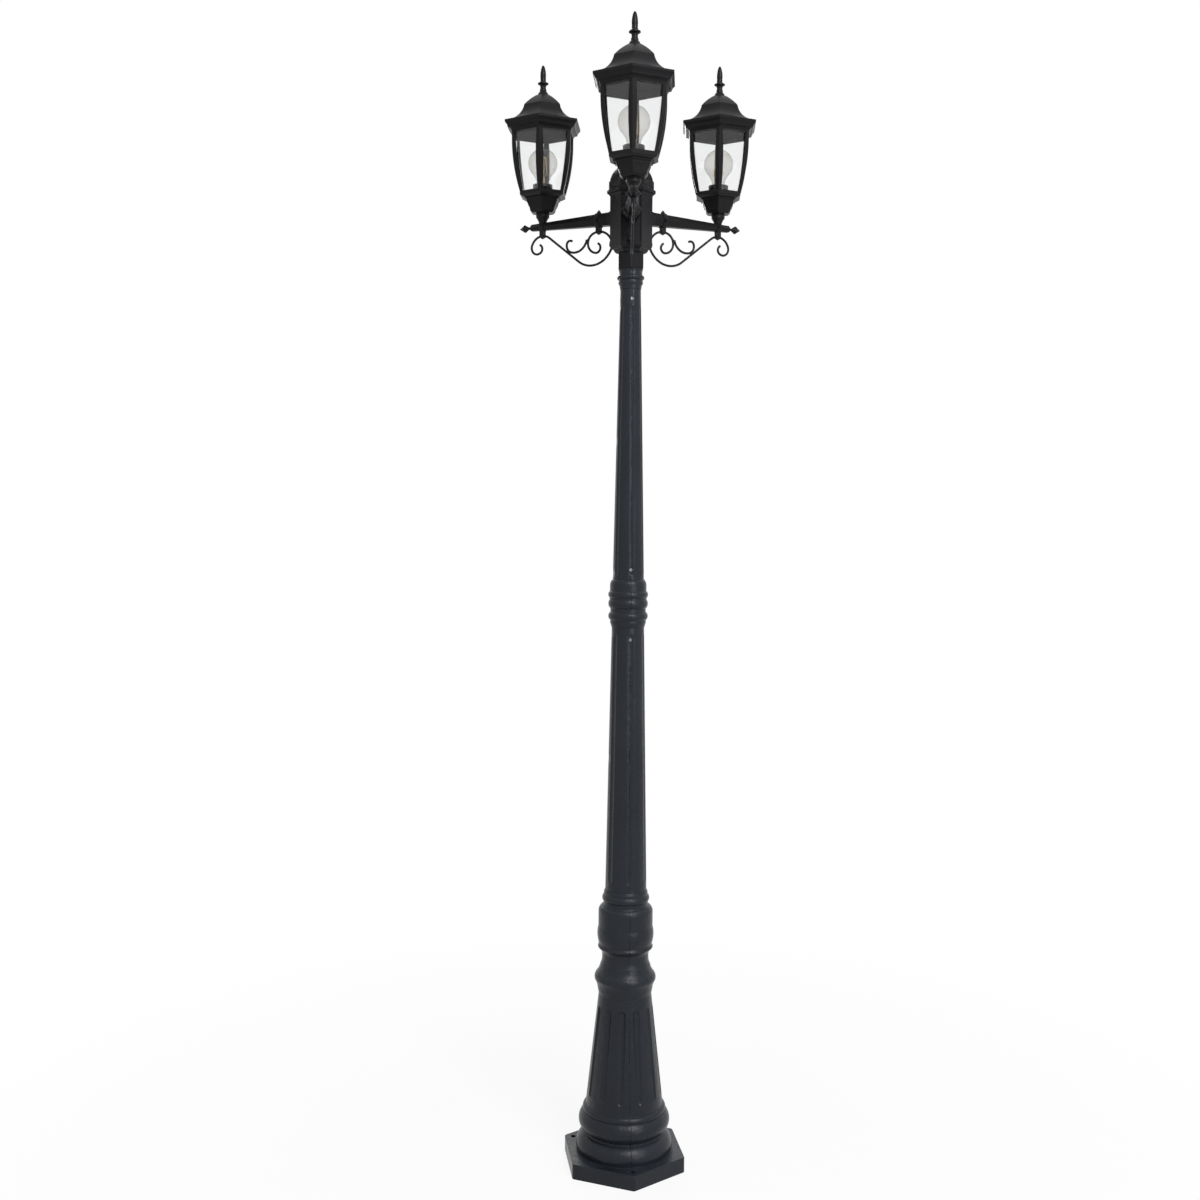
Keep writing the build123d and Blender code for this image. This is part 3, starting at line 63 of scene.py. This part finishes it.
class Reading:
    """One output socket of a drawing of nodes. Its operators add Math nodes and give a new Reading."""

    def __init__(self, drawing, socket):
        self.drawing = drawing
        self.socket = socket

    def math(self, operation, *others):
        """Join this reading to numbers or readings with one Math node."""
        values = dict(enumerate((self, *others)))
        return self.drawing.node("ShaderNodeMath", {"operation": operation}, values)

    def __add__(self, other):
        return self.math("ADD", other)

    def __sub__(self, other):
        return self.math("SUBTRACT", other)

    def __rsub__(self, other):
        return self.math("MULTIPLY_ADD", -1.0, other)

    def __mul__(self, other):
        return self.math("MULTIPLY", other)

    def __pow__(self, other):
        return self.math("POWER", other)

    __radd__ = __add__
    __rmul__ = __mul__

    def size(self):
        """The reading without its sign."""
        return self.math("ABSOLUTE")

    def beside(self, output):
        """Another output of the node that this reading comes from."""
        return Reading(self.drawing, self.socket.node.outputs[output])

    def between(self, low, high):
        """0 at low, 1 at high, straight between them and clamped outside. Low may be the larger one."""
        values = {"Value": self, "From Min": low, "From Max": high}
        return self.drawing.node("ShaderNodeMapRange", {}, values)

    def tint(self, first, second):
        """A colour that goes from first at 0 to second at 1."""
        values = {"Factor": self, 6: (*first, 1.0), 7: (*second, 1.0)}
        return self.drawing.node("ShaderNodeMix", {"data_type": "RGBA"}, values, 2)


print("a reading knows: + - * ** size beside between tint")

# %% [markdown]
# ## Drawings of nodes
# Materials and the world are both drawn with nodes. Blender gives each of them a starting set, which
# could be changed bit by bit, but an emptied tree shows everything that matters in the script. Every node
# that isn't arithmetic comes from one method: a type, its settings, which go first because sockets depend
# on them, and the numbers or readings for its sockets.

# %% The nodes of a material or of the world


class Drawing:
    """The nodes of one material or world, emptied at the start and closed by its output node."""

    def __init__(self, owner, ending):
        owner.use_nodes = True
        self.owner = owner
        self.ending = ending
        self.tree = owner.node_tree
        self.tree.nodes.clear()

    def node(self, kind, settings, values, output=0):
        """Add a node of a type, give it its settings and sockets, and return one of its outputs."""
        made = self.tree.nodes.new(kind)
        for key, setting in settings.items():
            setattr(made, key, setting)
        for key, value in values.items():
            if isinstance(value, Reading):
                self.tree.links.new(value.socket, made.inputs[key])
            else:
                made.inputs[key].default_value = value
        return Reading(self, made.outputs[output])

    def close(self, shader):
        """Join the last shader to the output node, and return what was drawn on."""
        made = self.tree.nodes.new(self.ending)
        self.tree.links.new(shader.socket, made.inputs["Surface"])
        return self.owner


print("a drawing knows: node close")

# %% [markdown]
# ## A finish reads its patterns on the piece
# Paint stays on its casting when a lid is lifted or a bulb is turned. Patterns could follow the world, or
# a map drawn for each piece. The piece's own coordinates do it without a map, and their unit is a true
# metre, so each pattern is set by the real size of its grain.

# %% One material and its patterns
EDGE_SAMPLES = 4  # rays that feel for an edge beside each point
EDGE_RANGE = (0.02, 0.25)  # how far a softened normal leaves the true one where an edge begins and is full


class Finish(Drawing):
    """One material, whose patterns are read in the piece's own coordinates."""

    def __init__(self, name):
        super().__init__(bpy.data.materials.new(name), "ShaderNodeOutputMaterial")
        self.place = self.node("ShaderNodeTexCoord", {}, {}, "Object")

    def noise(self, grain, detail=2.0, stretch=(1.0, 1.0, 1.0)):
        """Cloudy pattern whose lumps are about one grain across, in metres."""
        stretched = self.node("ShaderNodeMapping", {}, {"Vector": self.place, "Scale": stretch})
        values = {"Vector": stretched, "Scale": 1.0 / grain, "Detail": detail, "Roughness": 0.55}
        return self.node("ShaderNodeTexNoise", {}, values, "Fac")

    def cells(self, grain):
        """Distance from the middles of scattered cells, each about one grain across, in metres."""
        values = {"Vector": self.place, "Scale": 1.0 / grain}
        return self.node("ShaderNodeTexVoronoi", {}, values, "Distance")

    def split(self, vector):
        """The X, Y and Z readings of a vector."""
        first = self.node("ShaderNodeSeparateXYZ", {}, {"Vector": vector}, "X")
        return first, first.beside("Y"), first.beside("Z")

    def facing(self):
        """The true normal of the surface."""
        return self.node("ShaderNodeNewGeometry", {}, {}, "Normal")

    def rounded(self, radius):
        """Normals that turn softly over an edge, as paint lies over it, and how near the edge is, 0 to 1."""
        soft = self.node("ShaderNodeBevel", {"samples": EDGE_SAMPLES}, {"Radius": radius}, "Normal")
        turn = {"operation": "DOT_PRODUCT"}
        agree = self.node("ShaderNodeVectorMath", turn, {0: soft, 1: self.facing()}, "Value")
        return soft, (1 - agree).between(*EDGE_RANGE)

    def relief(self, height, depth, strength, soft=None):
        """Normals, true or soft ones, bent by a height pattern that is depth metres high where it reads 1."""
        values = {"Height": height, "Distance": depth, "Strength": strength}
        if soft is not None:
            values["Normal"] = soft
        return self.node("ShaderNodeBump", {}, values)


print("a finish knows: noise cells split facing rounded relief")

# %% [markdown]
# ## Powder coat on the castings
# The post is cast aluminium under a charcoal powder coat. Powder melts into a fine pebbled skin, and under
# it the sand of the mould leaves slow waves, and a thin ridge where its two halves met. All that could be
# modelled, at millions of triangles, but it is far too shallow to change an outline. So a bump carries it,
# and the shine breaks up into a soft glow.
# Sharp edges are painted a little lighter, partly for the thin paint there and partly as a painted highlight,
# and dust settles on what faces up.

# %% Pebbles, waves and the mould's seam
MM_PER_METRE = 1000.0
PEBBLE_GRAIN = 0.0026
SPECKLE_GRAIN = 0.0008
WAVE_GRAIN = 0.018
CLOUD_GRAIN = 0.11
WAVE_DEPTH = 3.0  # in pebbles
SEAM_HEIGHT = 4.0  # in pebbles
SEAM_HALF_WIDTH = 0.0006
SEAM_PATCH = 0.02
SEAM_TURN = np.radians(8.3)  # the foot and poles stand turned this far, and the mould's seam with them


def seam_ridge(finish):
    """1 along the two seams of the mould, fading in patches, and 0 beside them.

    How far a point is off the seams' plane is x cos turn + y sin turn, without its sign.
    """
    across, along = finish.split(finish.place)[:2]
    off_seam = (across * float(np.cos(SEAM_TURN)) + along * float(np.sin(SEAM_TURN))).size()
    return off_seam.between(SEAM_HALF_WIDTH, 0.0) * finish.noise(SEAM_PATCH).between(0.4, 0.6)


def powder_coat(name, dark, light, rough, shine, pebble, edge_radius, seam=False):
    """Pebbled black paint: colour between dark and light, and the height of its pebbles in metres."""
    finish = Finish(name)
    speckle = finish.noise(SPECKLE_GRAIN, 1.0)
    cloud = finish.noise(CLOUD_GRAIN, 3.0)
    soft, edge = finish.rounded(edge_radius)
    facing_up = finish.split(finish.facing())[2]
    dust = facing_up.between(0.35, 1.0) * cloud.between(0.35, 0.7)
    # the edge share is thin paint and a painted highlight where edges catch the light
    tone = speckle.between(0.42, 0.72) * 0.35 + cloud * 0.3 + edge * 0.25 + dust * 0.35
    pebbles = finish.noise(PEBBLE_GRAIN) * 0.7 + speckle * 0.3
    height = pebbles * pebble + finish.noise(WAVE_GRAIN, 3.0) * (pebble * WAVE_DEPTH)
    if seam:
        height = height + seam_ridge(finish) * (pebble * SEAM_HEIGHT)
    # the heights go in as millimetres, and the bump is one millimetre high where they read 1
    bump = finish.relief(height * MM_PER_METRE, 1.0 / MM_PER_METRE, 1.0, soft)
    paint = {
        "Base Color": tone.tint(dark, light),
        "Roughness": rough + (speckle - 0.5) * 0.12 + (cloud - 0.5) * 0.12 + dust * 0.1,
        "Normal": bump,
        "Specular IOR Level": shine,
    }
    return finish.close(finish.node("ShaderNodeBsdfPrincipled", {}, paint))


print("pebbles", PEBBLE_GRAIN * MM_PER_METRE, "mm across, waves", WAVE_GRAIN * MM_PER_METRE, "mm long")

# %% [markdown]
# ## Four blacks
# The photograph shows blacks that differ: the post is charcoal with a blue cast and coarse pebbles, the
# hub and its cap are neutral, the lanterns are the darkest and nearly smooth, and the thin scroll rods
# have softer edges of shine. One function with other values makes all four. The shine is set low, because
# the white surroundings would otherwise wash the paint out to grey.

# %% The coats
post_coat = powder_coat(
    "charcoal_powder_coat",
    dark=(0.0055, 0.007, 0.0105),
    light=(0.034, 0.040, 0.051),
    rough=0.3,
    shine=0.19,
    pebble=0.0004,
    edge_radius=0.0012,
    seam=True,
)
hub_coat = powder_coat(
    "black_hub_coat",
    dark=(0.0055, 0.0058, 0.0068),
    light=(0.022, 0.022, 0.025),
    rough=0.34,
    shine=0.12,
    pebble=0.00015,
    edge_radius=0.001,
)
lantern_coat = powder_coat(
    "black_lantern_coat",
    dark=(0.005, 0.0047, 0.0053),
    light=(0.021, 0.0195, 0.022),
    rough=0.34,
    shine=0.12,
    pebble=0.00003,
    edge_radius=0.0008,
)
scroll_coat = powder_coat(
    "black_scroll_coat",
    dark=(0.0065, 0.007, 0.0085),
    light=(0.026, 0.0275, 0.032),
    rough=0.36,
    shine=0.14,
    pebble=0.00005,
    edge_radius=0.0004,
)
print("powder coats:", post_coat.name, hub_coat.name, lantern_coat.name, scroll_coat.name)

# %% [markdown]
# ## Bare metals
# The spigot, the screws and the bulb's cap are bare metal. Drawn metal is scratched along its length and
# turned metal around its axis. Scratches could be painted on a map, but noise that is stretched one way
# gives them at any size, and colour and roughness follow the same streaks, as they do on worn metal.

# %% Spigot, screws and bulb caps
STREAK_GRAIN = 0.0006
STREAK_DEPTH = 0.00002
METAL_EDGE = 0.0003


def bare_metal(name, dull, bright, rough, stretch):
    """Worn metal whose colour and roughness follow streaks. The streaks run along the small stretch."""
    finish = Finish(name)
    streak = finish.noise(STREAK_GRAIN, 2.0, stretch)
    cloud = finish.noise(0.02, 3.0)
    soft, edge = finish.rounded(METAL_EDGE)
    metal = {
        "Base Color": (streak * 0.4 + cloud * 0.4 + edge * 0.3).tint(dull, bright),
        "Roughness": rough + (streak - 0.5) * 0.2 + (cloud - 0.5) * 0.15,
        "Metallic": 1.0,
        "Normal": finish.relief(streak, STREAK_DEPTH, 0.6, soft),
    }
    return finish.close(finish.node("ShaderNodeBsdfPrincipled", {}, metal))


spigot_metal = bare_metal("spigot_aluminium", (0.42, 0.42, 0.43), (0.78, 0.78, 0.79), 0.38, (1.0, 1.0, 0.05))
screw_steel = bare_metal("screw_steel", (0.05, 0.05, 0.052), (0.4, 0.4, 0.41), 0.35, (1.0, 1.0, 1.0))
cap_metal = bare_metal("bulb_cap_metal", (0.5, 0.49, 0.46), (0.86, 0.85, 0.81), 0.25, (0.2, 0.2, 1.0))
print("metals:", spigot_metal.name, screw_steel.name, cap_metal.name)

# %% [markdown]
# ## Lamp holders
# The holders are moulded from a black thermoset, which stays hard in the bulb's heat. It flows up the
# mould and sets with faint marks that way. One flat black would do from afar, but seen through the panes
# the marks and the edges, painted lighter as a painted highlight, tell plastic from paint.

# %% Holder plastic
FLOW_GRAIN = 0.006
SKIN_GRAIN = 0.0003
SKIN_DEPTH = 0.00001
PLASTIC_EDGE = 0.0005


def thermoset():
    """Black moulded plastic with a soft shine, and flow marks drawn out three times as long as wide."""
    finish = Finish("holder_plastic")
    flow = finish.noise(FLOW_GRAIN, 3.0, (1.0, 1.0, 0.3))
    soft, edge = finish.rounded(PLASTIC_EDGE)
    plastic = {
        # lighter towards the edges: a painted highlight
        "Base Color": (flow * 0.6 + edge * 0.4).tint((0.01, 0.01, 0.011), (0.03, 0.03, 0.031)),
        "Roughness": 0.3 + (flow - 0.5) * 0.2,
        "Normal": finish.relief(finish.noise(SKIN_GRAIN, 1.0), SKIN_DEPTH, 0.5, soft),
    }
    return finish.close(finish.node("ShaderNodeBsdfPrincipled", {}, plastic))


holder_black = thermoset()
print("plastic:", holder_black.name)

# %% [markdown]
# ## Panes
# The panes are clear glass that was slumped into its bend, so it carries a very slow ripple, and a little
# dust lies along its lower edge. A see-through colour alone would look like film. The solid has the real
# thickness, so the shader lets light in at one face, bends it and lets it out at the other.

# %% Pane glass
RIPPLE_GRAIN = 0.045
RIPPLE_DEPTH = 0.00012
DUST_GRAIN = 0.004
DUST_REACH = 0.03  # how far dust lies up the panes


def pane_glass():
    """Clear glass with a slow ripple, and dust that fades upwards from the sill."""
    finish = Finish("pane_glass")
    sill = float(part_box("front_glass_panes")[0].z)
    height = finish.split(finish.place)[2]
    dust = height.between(sill + DUST_REACH, sill) * finish.noise(DUST_GRAIN, 4.0).between(0.45, 0.8) * 0.5
    glass = {
        "Base Color": dust.tint((0.95, 0.955, 0.955), (0.86, 0.85, 0.83)),
        "Roughness": 0.015 + dust * 0.25,
        "IOR": 1.45,
        "Transmission Weight": 1.0,
        "Normal": finish.relief(finish.noise(RIPPLE_GRAIN, 1.0), RIPPLE_DEPTH, 0.35),
    }
    print("sill of the panes at", round(sill, 4), "m")
    return finish.close(finish.node("ShaderNodeBsdfPrincipled", {}, glass))


clear_panes = pane_glass()

# %% [markdown]
# ## Bulbs
# A bulb's wall is only a millimetre thick and faintly smoked. It could be made as the panes are, but light
# hardly bends in so thin a wall. A mix is truer and clearer: mostly see-through, with a bright skin whose
# share grows towards the outline, where one looks along the wall. Inside, the filament sticks are coated
# in amber grains.

# %% Bulb wall and filament
WALL_SHARE = 0.05  # how much of the skin shows where one looks straight at it
RIM_SHARE = 0.3  # how much more of it shows at the outline
GRAIN_OF_AMBER = 0.0016


def bulb_wall():
    """Thin smoked wall: the skin's share is a little everywhere, plus the outline's nearness to a power."""
    finish = Finish("bulb_glass")
    rim = finish.node("ShaderNodeLayerWeight", {}, {"Blend": 0.35}, "Facing")
    haze = finish.noise(0.03)
    clear = finish.node("ShaderNodeBsdfTransparent", {}, {"Color": (0.94, 0.936, 0.928, 1.0)})
    smoke = {
        "Base Color": haze.tint((0.62, 0.61, 0.59), (0.74, 0.73, 0.71)),
        "Roughness": 0.06 + haze * 0.05,
    }
    skin = finish.node("ShaderNodeBsdfPrincipled", {}, smoke)
    share = WALL_SHARE + (rim**2.5) * RIM_SHARE + (haze - 0.5) * 0.02
    return finish.close(finish.node("ShaderNodeMixShader", {}, {0: share, 1: clear, 2: skin}))


def filament_coat():
    """Amber coating of the filament sticks, lighter towards the edges of its grains."""
    finish = Finish("filament_amber")
    bead = finish.cells(GRAIN_OF_AMBER)
    amber_grains = {
        "Base Color": bead.between(0.1, 0.6).tint((0.55, 0.3, 0.06), (0.85, 0.6, 0.2)),
        "Roughness": 0.35 + bead * 0.2,
    }
    return finish.close(finish.node("ShaderNodeBsdfPrincipled", {}, amber_grains))


smoked_wall = bulb_wall()
amber = filament_coat()
print("glass:", clear_panes.name, smoked_wall.name, amber.name)

# %% [markdown]
# ## Each solid gets its finish
# Castings like these are coated before they are put together, so a piece has one finish. The record says
# which slot each node belongs to. The nodes could be dressed one by one, but a table from slot to finish
# dresses them all. The hub and the thin rods share a slot with other castings and still have coats of
# their own.

# %% Dress the CAD nodes
FINISH_OF_SLOT = {
    "black_post": post_coat,
    "black_lantern": lantern_coat,
    "bare_aluminium": spigot_metal,
    "screw_steel": screw_steel,
    "pane_glass": clear_panes,
    "holder_plastic": holder_black,
    "bulb_glass": smoked_wall,
    "bulb_cap_metal": cap_metal,
    "filament": amber,
}
slot_of_node = {row["node"]: row["material_slot"] for row in frame["record"]["subparts"]}


def finish_of(name):
    """The finish of one node: its own coat if it has one, or else the finish of its slot."""
    if name in ("arm_hub", "hub_cap"):
        return hub_coat
    if "scroll" in name or name.endswith("saddle"):
        return scroll_coat
    return FINISH_OF_SLOT[slot_of_node[name]]


for name, node in nodes.items():
    node.data.materials.clear()
    node.data.materials.append(finish_of(name))
print("dressed", len(nodes), "nodes in", len(set(slot_of_node.values())), "slots")

# %% [markdown]
# ## Weld beads
# The short curl of each bracket is tacked to the long rod where the two touch: once on the straight run
# and once under the inner crest. A tack is a lens of melted steel that fills the groove between two rods
# and freezes in ripples. A ball pressed flat would do from afar, but the ripples are what tells a weld.
# So the surface is worked out: an egg shape whose radius is waved along its length.

# %% The surface of a tack
# half sizes: along the groove, across it, and out of the bracket's plane
TACK_LENGTH, TACK_WIDTH, TACK_DEPTH = 0.0042, 0.0017, 0.0021
RIPPLES = 5.0
RIPPLE_SHARE = 0.07  # of the tack's radius
TACK_ROWS, TACK_TURNS = 33, 20


def tack_surface(distance, height, lean, heading):
    """Points of one tack on a grid of rows p, from end to end, and turns q around its length.

    Along the groove they are length cos p, across it width sin p cos q, and out of the bracket's plane depth
    sin p sin q, the last two times the wave. The lean, in degrees above level, and the arm's heading then
    turn them into their place, which is a distance from the pole's axis and a height.
    """
    rows = np.linspace(0.0, np.pi, TACK_ROWS)
    turns = np.arange(TACK_TURNS) * 2.0 * np.pi / TACK_TURNS
    p, q = np.meshgrid(rows, turns, indexing="ij")
    wave = 1.0 + RIPPLE_SHARE * np.cos(2.0 * RIPPLES * p) * np.sin(p)
    long = TACK_LENGTH * np.cos(p)
    wide = TACK_WIDTH * np.sin(p) * np.cos(q) * wave
    deep = TACK_DEPTH * np.sin(p) * np.sin(q) * wave
    slope, way = np.radians(lean), np.radians(heading)
    out = distance + long * np.cos(slope) - wide * np.sin(slope)
    high = height + long * np.sin(slope) + wide * np.cos(slope)
    east = out * np.sin(way) + deep * np.cos(way)
    north = -out * np.cos(way) + deep * np.sin(way)
    return np.stack((east, north, high), axis=-1)


print("a tack is", TACK_LENGTH * 2.0 * MM_PER_METRE, "mm long with", RIPPLES, "ripples")

# %% [markdown]
# ## From grids to a closed mesh
# A grid's first and last rows are rings that shrank to one spot, where a real bead ends in a point. Left
# as they are, they would be slivers of no width. So each end keeps one vertex, which a fan of triangles
# joins to the next ring. The volume that the faces enclose is positive only if they all point outwards,
# so it is printed.

# %% Mesh and volume


def closed_mesh(name, grids):
    """One mesh of egg-shaped grids: rings of quads, closed by a fan of triangles at each end."""
    points, faces = [], []
    for grid in grids:
        start = sum(len(block) for block in points)
        rows, turns = grid.shape[:2]
        points.append(np.concatenate((grid[0, :1], grid[1:-1].reshape(-1, 3), grid[-1, :1])))
        ring = start + 1 + np.arange((rows - 2) * turns).reshape(rows - 2, turns)
        ahead = np.roll(ring, -1, axis=1)
        quads = np.stack((ring[:-1], ahead[:-1], ahead[1:], ring[1:]), axis=-1).reshape(-1, 4)
        first_tip, last_tip = np.full(turns, start), np.full(turns, start + 1 + ring.size)
        first_fan = np.stack((first_tip, ahead[0], ring[0]), axis=-1)
        last_fan = np.stack((last_tip, ring[-1], ahead[-1]), axis=-1)
        faces += quads.tolist() + first_fan.tolist() + last_fan.tolist()
    mesh = bpy.data.meshes.new(name)
    mesh.from_pydata(np.concatenate(points).tolist(), [], faces)
    mesh.polygons.foreach_set("use_smooth", np.ones(len(mesh.polygons), dtype=bool))
    mesh.update()
    return mesh


def enclosed_volume(mesh):
    """Sum over the triangles of a sixth of a dot (b cross c), positive where they point outwards."""
    mesh.calc_loop_triangles()
    corners = np.empty(len(mesh.loop_triangles) * 3, dtype=np.int32)
    mesh.loop_triangles.foreach_get("vertices", corners)
    places = np.empty(len(mesh.vertices) * 3)
    mesh.vertices.foreach_get("co", places)
    a, b, c = places.reshape(-1, 3)[corners.reshape(-1, 3)].transpose(1, 0, 2)
    return float(np.einsum("ij,ij->i", a, np.cross(b, c)).sum() / 6.0)


print("vertices in one tack:", (TACK_ROWS - 2) * TACK_TURNS + 2)

# %% [markdown]
# ## The beads on the three brackets
# The three brackets are alike, a third of a turn apart. Copies of one object could be turned into place,
# but a finished piece has to sit at the origin with its place in its mesh. So the two tacks of each
# bracket are worked out where they belong, and ride the post, as their bracket does.

# %% Weld beads of the scroll brackets
HEAD_HEADING = {"front": 0.0, "left": -120.0, "right": 120.0}  # degrees around the pole from -Y
TACKS = (
    # distance from the pole's axis, height, and the groove's lean in degrees
    (0.14176, 1.82727, 37.2),
    (0.09826, 1.84599, 104.9),
)
for side, heading in HEAD_HEADING.items():
    bead_mesh = closed_mesh(f"{side}_scroll_tacks", [tack_surface(*tack, heading) for tack in TACKS])
    beads = bpy.data.objects.new(f"{side}_scroll_tacks", bead_mesh)
    bpy.context.scene.collection.objects.link(beads)
    bead_mesh.materials.append(scroll_coat)
    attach(beads, "post")
    print(beads.name, "volume in mm3:", round(enclosed_volume(bead_mesh) * MM_PER_METRE**3, 2))

# %% [markdown]
# ## Which rays see plain white
# The photograph is a cut-out on white. A white background could be lit until it burns out, but then its
# light would flood the post. Instead the floor and the world look at what kind of ray meets them. Rays
# from the camera, through glass and off a shine see plain white, and only the rays that gather light see
# the real level.

# %% Seen rays


def seen_rays(drawing):
    """1 for rays from the camera, through glass or off a shine, and 0 for rays that gather light."""
    camera_ray = drawing.node("ShaderNodeLightPath", {}, {}, "Is Camera Ray")
    glass_ray = camera_ray.beside("Is Transmission Ray")
    shine_ray = camera_ray.beside("Is Glossy Ray")
    return camera_ray.math("MAXIMUM", glass_ray).math("MAXIMUM", shine_ray)


print("seen rays: camera, transmission, glossy")

# %% [markdown]
# ## Floor
# The post stands on white paper. A plane that only catches a shadow would need a render setting, and a
# plain one shows its far edge. This one is a mix of lit paper, which keeps the post's soft shadow, and
# plain white. The white share is high at the foot and full from the shadow's reach on, so no horizon
# shows behind the post.

# %% White floor with the post's shadow
FLOOR_SIZE = 60.0
SHADOW_REACH = 1.6  # from this distance on the floor is plain white
SHADOW_CORE = 0.3  # share of the reach in which the shadow shows most
SHADOW_SHARE = 0.1  # how much of the lit paper shows there
bpy.ops.mesh.primitive_plane_add(size=FLOOR_SIZE)
floor = bpy.context.object
floor.name = "floor"
paper = Finish("floor_white")
across, along = paper.split(paper.place)[:2]
away = (across * across + along * along) ** 0.5
plainness = away.between(SHADOW_REACH * SHADOW_CORE, SHADOW_REACH) * SHADOW_SHARE + (1.0 - SHADOW_SHARE)
fibre = paper.noise(0.8).tint((0.78, 0.78, 0.78), (0.8, 0.8, 0.8))
lit = paper.node("ShaderNodeBsdfDiffuse", {}, {"Color": fibre})
plain = paper.node("ShaderNodeEmission", {}, {"Color": (1.0, 1.0, 1.0, 1.0), "Strength": 1.0})
mixed = paper.node("ShaderNodeMixShader", {}, {0: seen_rays(paper) * plainness, 1: lit, 2: plain})
floor.data.materials.append(paper.close(mixed))
print("floor is plain white from", SHADOW_REACH, "m on")

# %% [markdown]
# ## Surroundings
# A white tent lights a post softly from all sides, and an even world is the simplest tent. Seen rays have
# to meet full white in it. But a ray that gathers light for the inside of a lantern leaves through a
# pane, where it becomes a glass ray, and it would bring that full white back to the black walls. So the
# number of diffuse bounces is taken away from the seen mark: after one such bounce, a ray sees the tent's
# true, lower level.

# %% White world
WORLD_LIGHT = 0.32  # what the surroundings light the post with; the lamps add the rest
world = bpy.data.worlds.new("studio")
bpy.context.scene.world = world
tent = Drawing(world, "ShaderNodeOutputWorld")
bounces = tent.node("ShaderNodeLightPath", {}, {}, "Diffuse Depth")
seen = (seen_rays(tent) - bounces).between(0.0, 1.0)
level = seen * (1.0 - WORLD_LIGHT) + WORLD_LIGHT
tent.close(tent.node("ShaderNodeBackground", {}, {"Color": (1.0, 1.0, 1.0, 1.0), "Strength": level}))
print("world lights with", WORLD_LIGHT, "and shows 1")

# %% [markdown]
# ## Lamps
# The paint's soft highlights sit right of the middle, so the main light of the photograph stood high on
# the right, with a lower one that reaches under the mouldings. A weak one behind keeps the back readable
# when the post is turned. Points of light would give hard sparks, and area lamps give the broad glow of
# soft boxes. They shine in the paint, but they are hidden from the camera and from rays through glass, so
# no lamp glares in a pane.

# %% Three soft boxes
LAMPS = (
    # name, place, what it faces, side length and power in watts
    ("front_soft_box", (1.3, -2.9, 3.6), (0.0, 0.0, 0.8), 1.5, 130.0),
    ("low_soft_box", (1.9, -3.1, 1.4), (0.0, 0.0, 0.9), 0.8, 26.0),
    ("rear_soft_box", (-0.6, 3.6, 3.2), (0.0, 0.0, 1.1), 1.6, 50.0),
)


def soft_box(name, place, target, size, power):
    """A square area lamp that faces a target, and isn't seen itself."""
    data = bpy.data.lights.new(name, "AREA")
    data.size = size
    data.energy = power
    lamp = bpy.data.objects.new(name, data)
    aim = (Vector(target) - Vector(place)).to_track_quat("-Z", "Y")
    lamp.matrix_world = Matrix.Translation(place) @ aim.to_matrix().to_4x4()
    lamp.visible_camera = False
    lamp.visible_transmission = False
    bpy.context.scene.collection.objects.link(lamp)
    return lamp


for row in LAMPS:
    print(soft_box(*row).name, row[-1], "W")

# %% [markdown]
# ## The photograph's camera
# The camera stood 2.7 m away and 1.3 m high, a little to the left of the front arm, looked down by almost
# four degrees and leaned by less than half a degree. It could be placed by eye, but a view that is a
# little off bends every outline. So place, angles and focal length were fitted until the post's known
# shape lay on the picture.

# %% Camera
CAMERA_PLACE = (-0.0487, -2.7073, 1.3229)
CAMERA_YAW = 0.0025  # radians, as the next two
CAMERA_DOWN = 0.0679
CAMERA_ROLL = 0.0067
FOCAL_PIXELS = 1375.47
PICTURE_PIXELS = 1200.0
SENSOR = 36.0
forward = Vector(
    (
        -np.sin(CAMERA_YAW) * np.cos(CAMERA_DOWN),
        np.cos(CAMERA_YAW) * np.cos(CAMERA_DOWN),
        -np.sin(CAMERA_DOWN),
    )
)
level_right = Vector((np.cos(CAMERA_YAW), np.sin(CAMERA_YAW), 0.0))
level_up = level_right.cross(forward)
right = level_right * float(np.cos(CAMERA_ROLL)) + level_up * float(np.sin(CAMERA_ROLL))
up = right.cross(forward)
camera_data = bpy.data.cameras.new("camera")
camera_data.sensor_width = SENSOR
camera_data.lens = SENSOR * FOCAL_PIXELS / PICTURE_PIXELS
camera = bpy.data.objects.new("camera", camera_data)
camera.matrix_world = Matrix.Translation(CAMERA_PLACE) @ Matrix((right, up, -forward)).transposed().to_4x4()
bpy.context.scene.collection.objects.link(camera)
bpy.context.scene.camera = camera
bpy.context.scene.view_settings.view_transform = "Standard"
print("camera at", [round(v, 3) for v in camera.matrix_world.translation])
